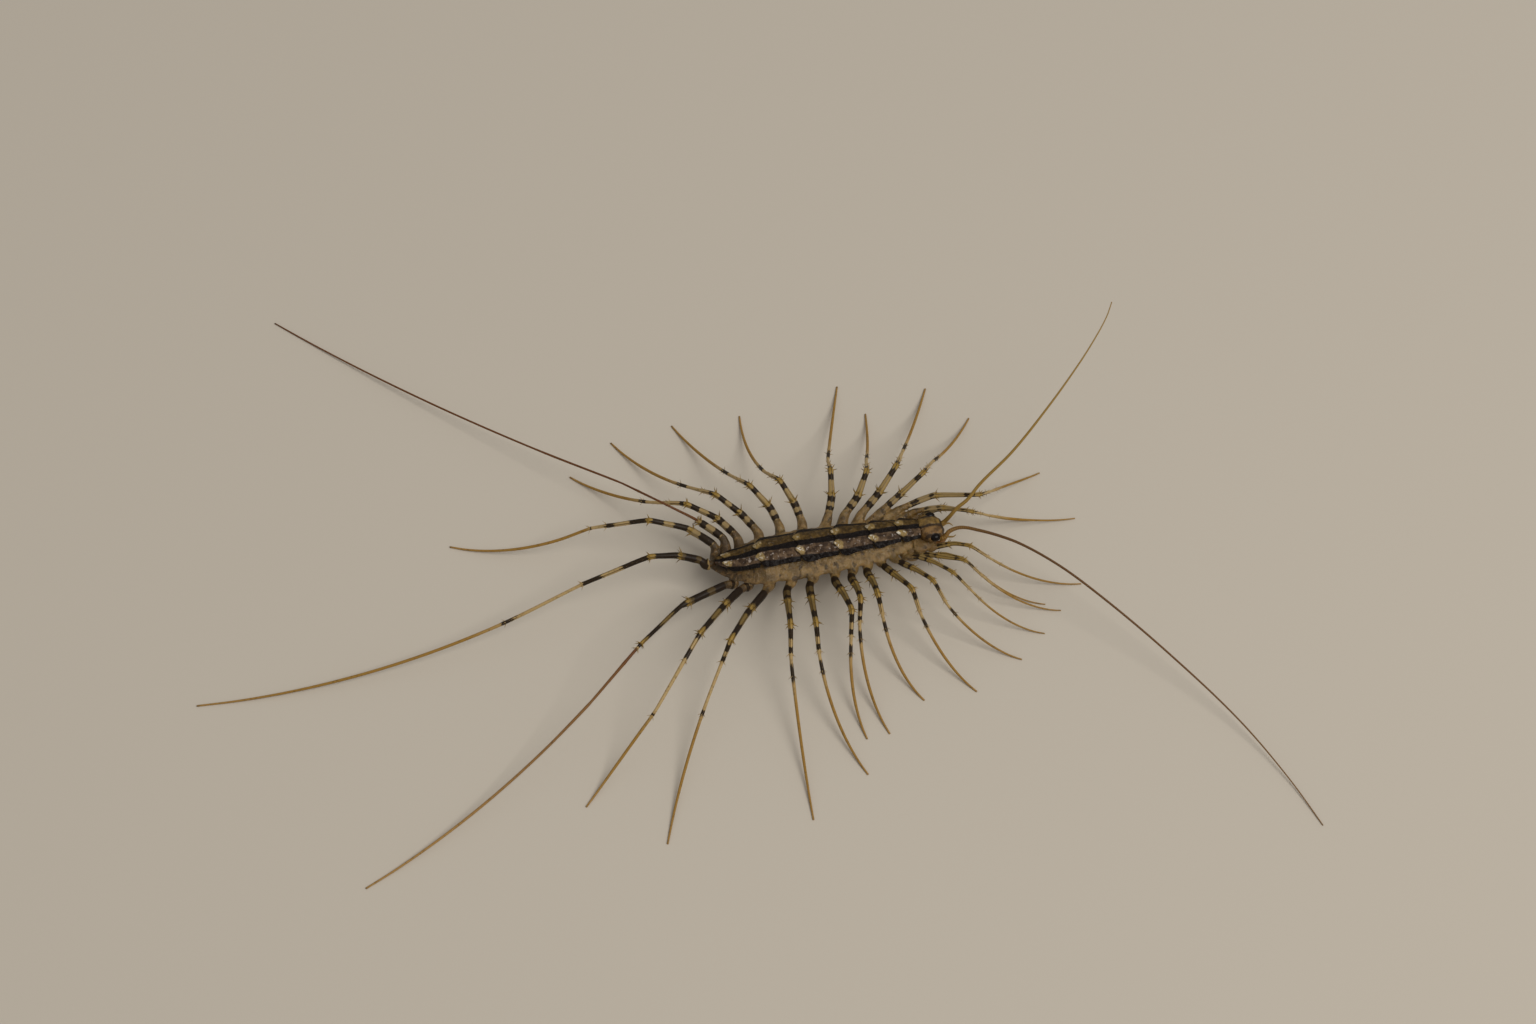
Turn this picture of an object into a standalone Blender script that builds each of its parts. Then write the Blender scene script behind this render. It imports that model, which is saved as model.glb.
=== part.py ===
"""House centipede at life size, standing on its thirty legs with the left feeler raised.

The head points along +X, the animal's left side along +Y, and the feet rest on the floor at z = 0.
Every size in the tables is in millimetres.
"""

import math

import bmesh
import bpy
import numpy as np
from mathutils import Vector

for old in list(bpy.data.objects):
    bpy.data.objects.remove(old)

MM = 0.001
GAP = 0.3

# The back's height over the floor along the body, from the tail to the head.
BACK_AT = (-11.0, -9.0, -4.4, 0.0, 5.7, 12.0, 16.0)
BACK_HEIGHT = (4.7, 5.5, 7.3, 7.2, 6.85, 6.4, 5.8)
BELLY_HEIGHT = 3.1
BELLY_RISE = 0.5
TAIL_TURN_FROM = -4.0
TAIL_TURN = 0.035
PLATE_THICK = 0.3
TRUNK_AT = (-9.9, -9.0, -6.0, 0.0, 8.0, 12.0, 13.2, 15.0)
TRUNK_HALF_WIDTH = (0.8, 1.2, 1.8, 2.1, 1.95, 1.6, 1.3, 0.7)
TRUNK_SIDES = 14
TRUNK_RINGS = 23
NECK_X = 13.3
NECK_TOP = 3.95

# The neck's edge, then the hind edge of each back plate towards the tail, and half the width there.
PLATE_ENDS = (13.6, 11.4, 8.1, 4.1, -0.3, -4.9, -8.5)
PLATE_HALF_WIDTHS = (1.4, 1.65, 1.9, 2.1, 2.15, 1.9, 1.35)
TAIL_X = -9.6
TAIL_HALF_WIDTH = 0.75
PLATE_ARCH = 0.55
PLATE_FRONT_SHARE = 0.93
PLATE_CORNER_FRONT = 0.28
PLATE_CORNER_HIND = 0.5
PLATE_HIND_LIFT = 0.12
PLATE_SEGMENTS = (5, 8)

HEAD_CENTRE = (15.2, 0.25, 5.05)
HEAD_HALF = (1.4, 1.72, 0.8)
EYE_RADIUS = 0.42
EYE_LEFT = (15.5, 1.72, 5.1)
EYE_RIGHT = (15.35, -1.22, 5.1)
ROUND_STEPS = (16, 10)
EYE_STEPS = (12, 8)

# Each leg's place on the trunk and its hip, from pair 1 at the neck to pair 15 at the tail.
COXA_X = (14.9, 13.5, 12.4, 11.7, 10.3, 8.8, 7.2, 5.5, 3.4, 0.9, -1.6, -4.1, -6.3, -7.9, -9.1)
COXA_HEIGHT = (3.5, 3.3, 3.5, 4.1, 4.5, 4.3, 4.3, 4.3, 4.3, 4.3, 4.3, 4.3, 4.2, 4.0, 3.4)
HIP_X = (15.8, 14.2, 14.1, 13.4, 11.6, 9.6, 7.4, 5.5, 3.6, 0.7, -1.9, -4.4, -6.9, -8.4, -9.6)
HIP_OUT = (1.45, 1.95, 2.5, 3.0, 3.6, 3.7, 3.9, 4.2, 4.2, 4.2, 4.2, 4.0, 3.5, 3.1, 1.8)
HIP_LEAD = (0.0, 0.0, 0.0, 0.6, 0.6, 0.6, 0.6, 0.6, 0.6, 0.6, 0.6, 0.6, 0.6, 0.6, 0.6)
HIP_HEIGHT = (3.6, 2.75, 4.1, 4.8, 4.8, 4.8, 4.8, 4.8, 4.8, 4.8, 4.8, 4.8, 4.8, 4.8, 4.3)
LEG_GROWTH = (0.6, 0.62, 0.68, 0.78, 0.9, 0.96, 1.0)
HIP_TURN_FROM = 11
HIP_TURN = 0.57
LAST_PAIR = 14
HIND_RIGHT_COXA = (-10.2, 1.25, 4.3)
HIND_RIGHT_HIP = (-11.1, 1.9, 4.9)
HIND_RIGHT_OUT = 0.4
COXA_OUT = 0.45
HIP_MARK = 0.4
ANKLE_SHARE = 0.62
FOOT_FALL = 1.7
FOOT_STEPS = 8
TUBE_RESOLUTION = 1
FOOT_RADIUS = 0.16
FOOT_SINK = 0.03

# One row a leg: knee x, y and height, the thigh's sideways bow, ankle x and y, foot x and y, its bow.
RIGHT_LEGS = (
    (18.9, -3.5, 5.6, 0.45, 21.1, -4.3, 31.0, -7.8, -0.6),
    (17.95, -4.1, 4.2, 0.6, 19.5, -5.1, 26.3, -9.6, -0.55),
    (17.7, -5.8, 6.4, 0.0, 19.7, -7.1, 27.8, -10.8, -0.5),
    (15.9, -7.4, 6.8, 0.3, 17.8, -8.6, 25.2, -13.4, -0.5),
    (13.4, -8.0, 7.0, 0.2, 14.6, -9.8, 21.8, -16.2, -0.5),
    (10.8, -8.7, 7.2, 0.1, 11.4, -10.5, 15.8, -19.2, -0.4),
    (6.9, -8.5, 7.2, 0.2, 7.2, -9.9, 9.8, -19.0, -0.6),
    (4.9, -8.8, 7.2, 0.2, 4.4, -10.4, 5.0, -22.4, -0.7),
    (3.6, -10.0, 7.2, 0.2, 3.0, -12.1, 2.4, -22.5, -0.6),
    (-0.7, -10.8, 7.2, 0.0, -0.9, -13.3, 1.4, -27.0, -0.7),
    (-3.5, -10.4, 7.2, 0.0, -4.1, -13.1, -5.8, -31.3, -0.1),
    (-10.4, -10.8, 7.2, -0.3, -11.6, -11.7, -22.0, -30.7, -0.7),
    (-13.5, -9.2, 7.2, -0.2, -20.3, -16.5, -29.7, -24.1, -0.3),
    (-20.1, -8.6, 6.4, -1.1, -26.9, -13.4, -55.0, -28.8, 0.9),
    (-16.7, 2.5, 6.6, -0.5, -24.6, 2.2, -69.3, -1.5, 2.2),
)
LEFT_LEGS = (
    (16.2, 2.8, 3.0, 0.0, 16.1, 3.4, 15.9, 4.6, 0.0),
    (14.7, 3.1, 2.9, 0.0, 14.5, 3.7, 13.9, 4.8, 0.0),
    (19.9, 2.0, 4.6, 0.84, 22.1, 2.1, 28.2, 1.9, 0.1),
    (20.0, 0.2, 6.8, 0.7, 22.2, 1.0, 32.7, 1.1, 0.1),
    (21.4, 2.1, 7.0, 1.2, 23.5, 4.1, 30.4, 8.2, 0.5),
    (15.9, 6.4, 7.2, 0.0, 17.8, 9.5, 24.4, 17.6, -0.1),
    (13.1, 8.0, 7.2, -0.2, 14.8, 11.6, 20.5, 22.9, 0.0),
    (9.7, 8.1, 7.2, -0.4, 10.5, 11.4, 12.8, 20.9, -0.2),
    (5.7, 9.1, 7.2, -0.3, 6.2, 12.4, 10.5, 25.5, 0.1),
    (-0.2, 9.0, 7.2, -0.3, -1.2, 12.4, -1.6, 23.9, 0.5),
    (-3.7, 9.1, 7.2, -0.5, -5.1, 12.8, -9.6, 24.3, 0.0),
    (-7.7, 8.7, 7.2, -0.4, -10.0, 12.2, -17.0, 23.5, 0.3),
    (-11.2, 8.8, 6.4, -0.7, -14.9, 11.6, -22.6, 19.8, 0.1),
    (-14.3, 9.2, 7.4, -0.4, -17.6, 14.6, -52.2, 49.6, 0.5),
    (-15.8, 7.4, 6.6, -0.9, -22.2, 9.5, -37.9, 13.3, 1.0),
)

# A leg's radius from trunk to foot: coxa 0 to 1, prefemur to 2, femur to 3, tibia to 4, tarsus to 5.
LEG_MARKS = (0.0, 0.8, 1.0, 1.3, 1.85, 2.0, 2.2, 2.8, 3.0, 3.2, 3.85, 4.0, 4.1, 4.6, 5.0)
LEG_RADII = (0.55, 0.5, 0.54, 0.48, 0.5, 0.42, 0.32, 0.32, 0.38, 0.27, 0.27, 0.31, 0.26, 0.25)
LEG_RADII += (FOOT_RADIUS,)
PREFEMUR_SHARE = 0.45
PREFEMUR_RISE = 0.4
CORNER = 0.55
CORNER_SHARE = 0.4
CORNER_CUT = 0.25
CORNER_MARK = 0.15
MIDDLE = 0.55

# Spines round a leg: the mark they stand at, how many, their length, the turn of the first in degrees.
SPINE_RINGS = ((1.92, 3, 0.85, 30), (2.95, 3, 0.6, 90), (3.95, 2, 0.6, 60))
SPINE_RADIUS = 0.16
SPINE_SIDES = 4
SPINE_LEAN = 40
WELD = 1e-6

# Each feeler as points from the head to its tip.
RIGHT_FEELER = (
    (16.5, -1.4, 5.0),
    (16.93, -1.1, 5.5),
    (18.3, -1.11, 6.0),
    (20.3, -2.28, 6.4),
    (22.27, -3.65, 6.6),
    (24.18, -5.22, 6.7),
    (27.83, -8.99, 6.4),
    (31.53, -13.45, 5.4),
    (36.95, -20.62, 3.4),
    (43.03, -30.45, 1.4),
    (46.46, -38.46, 0.4),
    (48.36, -44.68, 0.0),
)
LEFT_FEELER = (
    (16.95, 0.6, 5.2),
    (17.55, 0.54, 6.2),
    (18.41, 0.83, 7.1),
    (19.62, 1.11, 7.9),
    (21.22, 2.07, 9.0),
    (25.52, 4.16, 11.2),
    (30.49, 7.51, 13.8),
    (34.24, 10.48, 15.6),
    (36.8, 12.81, 16.7),
    (39.4, 15.67, 17.7),
    (40.4, 17.25, 18.2),
)
PALP = ((16.45, 0.45, 4.05), (16.95, 0.7, 4.15), (17.5, 0.75, 4.15), (17.9, 0.55, 4.0))
PALP_RADIUS = (0.22, 0.26, 0.2, 0.1)
FANG = ((15.3, 0.32, 3.25), (15.8, 0.6, 3.2), (16.4, 0.62, 3.15), (16.85, 0.4, 3.1), (17.0, 0.18, 3.1))
FANG_RADIUS = (0.25, 0.32, 0.28, 0.2, 0.1)
FEELER_RADIUS = 0.29
FEELER_TIP_RADIUS = 0.14


def material(name, colour, roughness):
    mat = bpy.data.materials.new(name)
    mat.use_nodes = True
    shader = mat.node_tree.nodes["Principled BSDF"]
    shader.inputs["Base Color"].default_value = (*colour, 1.0)
    shader.inputs["Roughness"].default_value = roughness
    shader.inputs["Metallic"].default_value = 0.0
    return mat


def finish(obj, mat):
    """Gives a mesh object its material, smooth shading and a place in the animal's collection."""
    obj.data.materials.clear()
    obj.data.materials.append(mat)
    obj.data.shade_smooth()
    if obj.name not in animal.objects:
        animal.objects.link(obj)
    return obj


def from_bmesh(name, mesh, mat):
    bmesh.ops.recalc_face_normals(mesh, faces=mesh.faces)
    data = bpy.data.meshes.new(name)
    mesh.to_mesh(data)
    mesh.free()
    return finish(bpy.data.objects.new(name, data), mat)


def back_height(x):
    return float(np.interp(x, BACK_AT, BACK_HEIGHT))


def body_y(x):
    """The body lies straight along X, and its tail turns to the left."""
    return TAIL_TURN * max(0.0, TAIL_TURN_FROM - x) ** 2


def trunk_half_width(x):
    return float(np.interp(x, TRUNK_AT, TRUNK_HALF_WIDTH))


def loft(rings):
    """A closed body through rings of points, each ring the same number of points."""
    mesh = bmesh.new()
    loops = [[mesh.verts.new(Vector(p) * MM) for p in ring] for ring in rings]
    sides = len(rings[0])
    for a, b in zip(loops, loops[1:]):
        for i in range(sides):
            j = (i + 1) % sides
            mesh.faces.new((a[i], a[j], b[j], b[i]))
    mesh.faces.new(loops[0])
    mesh.faces.new(loops[-1])
    return mesh


def tube(name, points, radii, mat):
    """A round bar along the points, cut flat where it would reach below the floor."""
    curve = bpy.data.curves.new(name, "CURVE")
    curve.dimensions = "3D"
    curve.bevel_depth = MM
    curve.bevel_resolution = TUBE_RESOLUTION
    curve.use_fill_caps = True
    spline = curve.splines.new("POLY")
    spline.points.add(len(points) - 1)
    for point, place, radius in zip(spline.points, points, radii):
        point.co = (*(Vector(place) * MM), 1.0)
        point.radius = radius
    guide = bpy.data.objects.new(name + "_line", curve)
    bpy.context.scene.collection.objects.link(guide)
    graph = bpy.context.evaluated_depsgraph_get()
    data = bpy.data.meshes.new_from_object(guide.evaluated_get(graph))
    obj = bpy.data.objects.new(name, data)
    obj.matrix_world = guide.matrix_world
    bpy.data.objects.remove(guide)
    mesh = bmesh.new()
    mesh.from_mesh(data)
    bmesh.ops.remove_doubles(mesh, verts=mesh.verts, dist=WELD)
    geometry = mesh.verts[:] + mesh.edges[:] + mesh.faces[:]
    up = Vector((0, 0, 1))
    bmesh.ops.bisect_plane(mesh, geom=geometry, plane_co=(0, 0, 0), plane_no=up, clear_inner=True)
    bmesh.ops.holes_fill(mesh, edges=mesh.edges, sides=0)
    bmesh.ops.recalc_face_normals(mesh, faces=mesh.faces)
    mesh.to_mesh(data)
    mesh.free()
    return finish(obj, mat)


def bow(start, end, amount, t):
    """A point on the way from start to end in plan, bowed to the left of that way by amount."""
    along = Vector(end) - Vector(start)
    across = Vector((-along.y, along.x)).normalized()
    return Vector(start) + along * t + across * amount * 4 * t * (1 - t)


def leg_size(pair):
    return LEG_GROWTH[min(pair, len(LEG_GROWTH) - 1)]


def leg_course(pair, left, row):
    """Points down a leg and the mark of each, from 0 at the trunk to 5 at the foot."""
    knee_x, knee_y, knee_z, thigh_bow, ankle_x, ankle_y, foot_x, foot_y, foot_bow = row
    side = 1 if left else -1
    coxa_x = COXA_X[pair]
    coxa_y = body_y(coxa_x) + side * (trunk_half_width(coxa_x) + GAP)
    coxa = Vector((coxa_x, coxa_y, COXA_HEIGHT[pair]))
    out = coxa + Vector((0.0, side * COXA_OUT, 0.0))
    hip_y = side * HIP_OUT[pair] + HIP_TURN * max(0, pair - HIP_TURN_FROM)
    hip = Vector((HIP_X[pair] + side * HIP_LEAD[pair], hip_y, HIP_HEIGHT[pair]))
    if pair == LAST_PAIR and not left:
        coxa = Vector(HIND_RIGHT_COXA)
        hip = Vector(HIND_RIGHT_HIP)
        out = coxa - Vector((HIND_RIGHT_OUT, 0.0, 0.0))
    knee = Vector((knee_x, knee_y, knee_z))
    ankle_z = knee_z * ANKLE_SHARE
    ankle = Vector((ankle_x, ankle_y, ankle_z))
    foot_z = FOOT_RADIUS * leg_size(pair) - FOOT_SINK
    mid = bow(hip.xy, knee.xy, thigh_bow, PREFEMUR_SHARE)
    prefemur_end = Vector((mid.x, mid.y, hip.z + (knee_z - hip.z) * PREFEMUR_RISE))

    def whip_place(t):
        spot = bow(ankle.xy, (foot_x, foot_y), foot_bow, t)
        return Vector((spot.x, spot.y, foot_z + (ankle_z - foot_z) * (1 - t) ** FOOT_FALL))

    places = [coxa, out]
    marks = [0.0, HIP_MARK]
    corners = [(out, hip, prefemur_end, 1.0), (hip, prefemur_end, knee, 2.0)]
    corners += [(prefemur_end, knee, ankle, 3.0), (knee, ankle, whip_place(1 / FOOT_STEPS), 4.0)]
    for before, corner, after, mark in corners:
        back = (before - corner).normalized() * min(CORNER, (before - corner).length * CORNER_SHARE)
        ahead = (after - corner).normalized() * min(CORNER, (after - corner).length * CORNER_SHARE)
        places += [corner + back, corner + (back + ahead) * CORNER_CUT, corner + ahead]
        marks += [mark - CORNER_MARK, mark, mark + CORNER_MARK]
        if 1.0 < mark < 4.0:
            places.append(corner + (after - corner) * MIDDLE)
            marks.append(mark + 0.5)
    for i in range(2, FOOT_STEPS + 1):
        places.append(whip_place(i / FOOT_STEPS))
        marks.append(4.0 + i / FOOT_STEPS)
    return places, marks


def make_spine(root, tip, radius):
    """A four-sided cone from its root inside the leg to its tip."""
    along = tip - root
    mesh = bmesh.new()
    length = along.length * MM
    bmesh.ops.create_cone(
        mesh, cap_ends=True, segments=SPINE_SIDES, radius1=radius * MM, radius2=0.0, depth=length
    )
    turn = Vector((0, 0, 1)).rotation_difference(along).to_matrix().to_4x4()
    bmesh.ops.transform(mesh, matrix=turn, verts=mesh.verts)
    bmesh.ops.translate(mesh, verts=mesh.verts, vec=(root + tip) / 2 * MM)
    data = bpy.data.meshes.new("spine")
    mesh.to_mesh(data)
    mesh.free()
    return bpy.data.objects.new("spine", data)


def add_spines(leg, places, marks, size):
    """Grows rings of spines on a leg, leaning towards its foot, fused to it as one body."""
    spines = bpy.data.collections.new(leg.name + "_spines")
    bpy.context.scene.collection.children.link(spines)
    lean = math.radians(SPINE_LEAN)
    for mark, count, length, first in SPINE_RINGS:
        here = int(np.searchsorted(marks, mark))
        step = (mark - marks[here - 1]) / (marks[here] - marks[here - 1])
        along = (places[here] - places[here - 1]).normalized()
        root = places[here - 1].lerp(places[here], step)
        across = along.cross(Vector((0, 0, 1))).normalized()
        for i in range(count):
            turn = math.radians(first + 360 * i / count)
            out = across * math.cos(turn) + across.cross(along) * math.sin(turn)
            reach = size * (length + float(np.interp(mark, LEG_MARKS, LEG_RADII)))
            tip = root + (out * math.cos(lean) + along * math.sin(lean)) * reach
            spines.objects.link(make_spine(root, tip, SPINE_RADIUS * size))
    fuse = leg.modifiers.new("spines", "BOOLEAN")
    fuse.operation = "UNION"
    fuse.solver = "MANIFOLD"
    fuse.operand_type = "COLLECTION"
    fuse.collection = spines
    graph = bpy.context.evaluated_depsgraph_get()
    fused = bpy.data.meshes.new_from_object(leg.evaluated_get(graph))
    leg.modifiers.clear()
    fused.materials.clear()
    fused.materials.append(leg.data.materials[0])
    leg.data = fused
    for spine in list(spines.objects):
        bpy.data.objects.remove(spine)
    bpy.data.collections.remove(spines)


def make_trunk(mat):
    rings = []
    for x in np.linspace(TRUNK_AT[0], TRUNK_AT[-1], TRUNK_RINGS):
        half = trunk_half_width(x)
        top = back_height(x) - PLATE_THICK - GAP
        if x > NECK_X:
            top = NECK_TOP
        belly = BELLY_HEIGHT + BELLY_RISE * (max(TRUNK_HALF_WIDTH) - half)
        middle = (top + belly) / 2
        high = (top - belly) / 2
        ring = []
        for i in range(TRUNK_SIDES):
            a = 2 * math.pi * i / TRUNK_SIDES
            ring.append((x, body_y(x) + half * math.cos(a), middle + high * math.sin(a)))
        rings.append(ring)
    return from_bmesh("trunk", loft(rings), mat)


def make_plate(name, front, rear, half_front, half_rear, mat):
    """A shield arched over the back, its hind corners round and its hind edge a little raised."""
    mesh = bmesh.new()
    steps_along, steps_across = PLATE_SEGMENTS
    bmesh.ops.create_grid(mesh, x_segments=steps_along, y_segments=steps_across, size=1.0)
    for v in mesh.verts:
        along = (v.co.x + 1) / 2
        across = v.co.y
        half = half_rear + (half_front - half_rear) * along
        x = rear + (front - rear) * along
        corner = PLATE_CORNER_FRONT - PLATE_CORNER_HIND * along
        x += corner * min(1.0, front - rear) * across**4
        lift = PLATE_HIND_LIFT * (1 - along) ** 2
        z = back_height(x) + lift - PLATE_ARCH * half / max(PLATE_HALF_WIDTHS) * across**2
        v.co = Vector((x, body_y(x) + half * across, z)) * MM
    obj = from_bmesh(name, mesh, mat)
    shell = obj.modifiers.new("thickness", "SOLIDIFY")
    shell.thickness = PLATE_THICK * MM
    shell.offset = -1.0
    return obj


def ball(name, centre, half, mat, steps):
    mesh = bmesh.new()
    bmesh.ops.create_uvsphere(mesh, u_segments=steps[0], v_segments=steps[1], radius=MM)
    bmesh.ops.scale(mesh, verts=mesh.verts, vec=half)
    bmesh.ops.translate(mesh, verts=mesh.verts, vec=Vector(centre) * MM)
    return from_bmesh(name, mesh, mat)


def cut_socket(obj, name, centre, radius):
    """Hollows a round seat in an object with a ball."""
    mesh = bmesh.new()
    bmesh.ops.create_uvsphere(mesh, u_segments=EYE_STEPS[0], v_segments=EYE_STEPS[1], radius=radius * MM)
    bmesh.ops.translate(mesh, verts=mesh.verts, vec=Vector(centre) * MM)
    data = bpy.data.meshes.new(name)
    mesh.to_mesh(data)
    mesh.free()
    cutter = bpy.data.objects.new(name, data)
    cutter.hide_render = True
    cutter.display_type = "WIRE"
    cutters.objects.link(cutter)
    seat = obj.modifiers.new(name, "BOOLEAN")
    seat.operation = "DIFFERENCE"
    seat.object = cutter


def smoothed(points):
    """The points with one more halfway between each two, on a smooth line through them."""
    places = [Vector(p) for p in points]
    smooth = []
    for i in range(len(places) - 1):
        before = places[max(i - 1, 0)]
        after = places[min(i + 2, len(places) - 1)]
        a, b = places[i], places[i + 1]
        bend = (a - before) - (after - b)
        smooth += [a, (a + b) / 2 + bend / 16]
    smooth.append(places[-1])
    return smooth


def make_horn(name, points, radii, mat):
    """A short bent piece, its thickness given at each point."""
    places = smoothed(points)
    steps = np.linspace(0, len(points) - 1, len(places))
    return tube(name, places, [float(np.interp(t, range(len(radii)), radii)) for t in steps], mat)


def make_feeler(name, points, mat):
    """A whip through the points, evenly tapered to its tip."""
    smooth = smoothed(points)
    count = len(smooth) - 1
    thinning = FEELER_RADIUS - FEELER_TIP_RADIUS
    radii = [FEELER_RADIUS - thinning * (i / count) ** 2 for i in range(count + 1)]
    for spot, radius in zip(smooth, radii):
        spot.z = max(spot.z, radius - FOOT_SINK)
    return tube(name, smooth, radii, mat)


animal = bpy.data.collections.new("house_centipede")
bpy.context.scene.collection.children.link(animal)
cutters = bpy.data.collections.new("cutters")
bpy.context.scene.collection.children.link(cutters)

plate_brown = material("plate_brown", (0.12, 0.08, 0.045), 0.35)
flank_brown = material("flank_brown", (0.36, 0.22, 0.11), 0.5)
head_amber = material("head_amber", (0.32, 0.15, 0.05), 0.35)
eye_black = material("eye_black", (0.012, 0.01, 0.01), 0.15)
leg_ochre = material("leg_ochre", (0.4, 0.24, 0.08), 0.4)
feeler_gold = material("feeler_gold", (0.42, 0.2, 0.05), 0.4)
fang_amber = material("fang_amber", (0.3, 0.11, 0.03), 0.3)

# Trunk under the plates.
make_trunk(flank_brown)

# Six back plates from the neck to the tail, then the small tail plate.
plate_front = PLATE_ENDS[0]
front_half = PLATE_HALF_WIDTHS[0]
for number, (rear, half) in enumerate(zip(PLATE_ENDS[1:], PLATE_HALF_WIDTHS[1:]), 1):
    make_plate(f"back_plate_{number}", plate_front, rear, front_half, half, plate_brown)
    plate_front = rear - GAP
    front_half = half * PLATE_FRONT_SHARE
make_plate("tail_plate", plate_front, TAIL_X, front_half, TAIL_HALF_WIDTH, plate_brown)

# Head with its eyes, feelers, palps and fangs.
head = ball("head", HEAD_CENTRE, HEAD_HALF, head_amber, ROUND_STEPS)
for side, word, eye_at in ((1, "left", EYE_LEFT), (-1, "right", EYE_RIGHT)):
    ball(f"eye_{word}", eye_at, (EYE_RADIUS,) * 3, eye_black, EYE_STEPS)
    cut_socket(head, f"eye_seat_{word}", eye_at, EYE_RADIUS + GAP)
    palp = [(x, side * y, z) for x, y, z in PALP]
    make_horn(f"palp_{word}", palp, PALP_RADIUS, feeler_gold)
    fang = [(x, side * y, z) for x, y, z in FANG]
    make_horn(f"fang_{word}", fang, FANG_RADIUS, fang_amber)
make_feeler("feeler_right", RIGHT_FEELER, feeler_gold)
make_feeler("feeler_left", LEFT_FEELER, feeler_gold)

# Thirty legs.
for rows, word in ((LEFT_LEGS, "left"), (RIGHT_LEGS, "right")):
    for pair, row in enumerate(rows):
        places, marks = leg_course(pair, word == "left", row)
        size = leg_size(pair)
        radii = [float(np.interp(m, LEG_MARKS, LEG_RADII)) * size for m in marks]
        leg = tube(f"leg_{word}_{pair + 1:02d}", places, radii, leg_ochre)
        add_spines(leg, places, marks, size)

# The origin is on the floor, under the middle of the animal's outline.
bpy.context.view_layer.update()
corners = [obj.matrix_world @ v.co for obj in animal.objects for v in obj.data.vertices]
middle_x = (min(c.x for c in corners) + max(c.x for c in corners)) / 2
middle_y = (min(c.y for c in corners) + max(c.y for c in corners)) / 2
for obj in list(animal.objects) + list(cutters.objects):
    obj.location = (-middle_x, -middle_y, 0.0)
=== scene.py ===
"""House centipede at rest on a pale floor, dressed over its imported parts."""

import math
import random

import bmesh
import bpy
import numpy as np
from mathutils import Matrix, Vector


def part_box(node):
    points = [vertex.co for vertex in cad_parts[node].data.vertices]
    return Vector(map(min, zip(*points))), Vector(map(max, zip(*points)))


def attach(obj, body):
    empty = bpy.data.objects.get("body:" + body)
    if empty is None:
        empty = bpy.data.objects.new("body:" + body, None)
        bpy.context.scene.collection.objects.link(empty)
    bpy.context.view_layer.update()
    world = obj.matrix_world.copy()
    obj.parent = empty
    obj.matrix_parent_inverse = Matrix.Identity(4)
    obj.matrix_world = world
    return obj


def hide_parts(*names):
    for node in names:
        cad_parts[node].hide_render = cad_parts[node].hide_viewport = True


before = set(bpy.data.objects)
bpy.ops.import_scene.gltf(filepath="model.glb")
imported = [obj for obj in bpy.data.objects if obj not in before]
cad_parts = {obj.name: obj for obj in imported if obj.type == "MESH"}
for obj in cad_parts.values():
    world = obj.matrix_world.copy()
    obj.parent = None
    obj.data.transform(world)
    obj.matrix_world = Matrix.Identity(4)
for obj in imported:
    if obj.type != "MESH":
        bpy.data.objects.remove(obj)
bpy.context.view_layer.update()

# The animal's own places are in millimetres, measured from a point on the floor under its back.
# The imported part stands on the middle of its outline, so the left eye's box gives the way from one
# to the other.
MM = 0.001
LEFT_EYE_PACKED = Vector((15.5, 1.72, 5.1))
eye_low, eye_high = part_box("eye_left")
ORIGIN = (Vector(eye_low) + Vector(eye_high)) / 2 - LEFT_EYE_PACKED * MM
ORIGIN.z = 0.0


def place(x, y, z):
    return Vector((x, y, z)) * MM + ORIGIN


# The camera looks down on the animal from its right side, with its head to the right of the picture.
# A long lens some half a metre away keeps the legs of both sides at nearly the same scale.
IMAGE_WIDTH = 1536
CAMERA_TILT = math.radians(55)
CAMERA_TURN = math.radians(-13)
CAMERA_DISTANCE = 484.8 * MM
FOCAL_PIXELS = 4316.8
AIM = place(-2.83, 3.73, 9.1)

camera_data = bpy.data.cameras.new("camera")
camera_data.sensor_width = 36.0
camera_data.lens = 36.0 * FOCAL_PIXELS / IMAGE_WIDTH
camera_data.clip_start = 0.01
camera = bpy.data.objects.new("camera", camera_data)
bpy.context.scene.collection.objects.link(camera)
look = Vector(
    (
        -math.sin(CAMERA_TURN) * math.cos(CAMERA_TILT),
        math.cos(CAMERA_TURN) * math.cos(CAMERA_TILT),
        -math.sin(CAMERA_TILT),
    )
)
camera.rotation_euler = (math.pi / 2 - CAMERA_TILT, 0.0, CAMERA_TURN)
camera.location = AIM - look * CAMERA_DISTANCE
bpy.context.scene.camera = camera


# The floor is plain and pale, warm grey like fired tile.
# Its faint grain is in the material alone, so the feet rest on a true plane.
def shader_of(material):
    return material.node_tree.nodes["Principled BSDF"]


floor_material = bpy.data.materials.new("pale_floor")
floor_material.use_nodes = True
shader_of(floor_material).inputs["Base Color"].default_value = (0.6, 0.545, 0.465, 1.0)
shader_of(floor_material).inputs["Roughness"].default_value = 0.8
floor_mesh = bmesh.new()
bmesh.ops.create_grid(floor_mesh, x_segments=1, y_segments=1, size=1.5)
floor_data = bpy.data.meshes.new("floor")
floor_mesh.to_mesh(floor_data)
floor_mesh.free()
floor = bpy.data.objects.new("floor", floor_data)
floor_data.materials.append(floor_material)
bpy.context.scene.collection.objects.link(floor)

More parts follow.
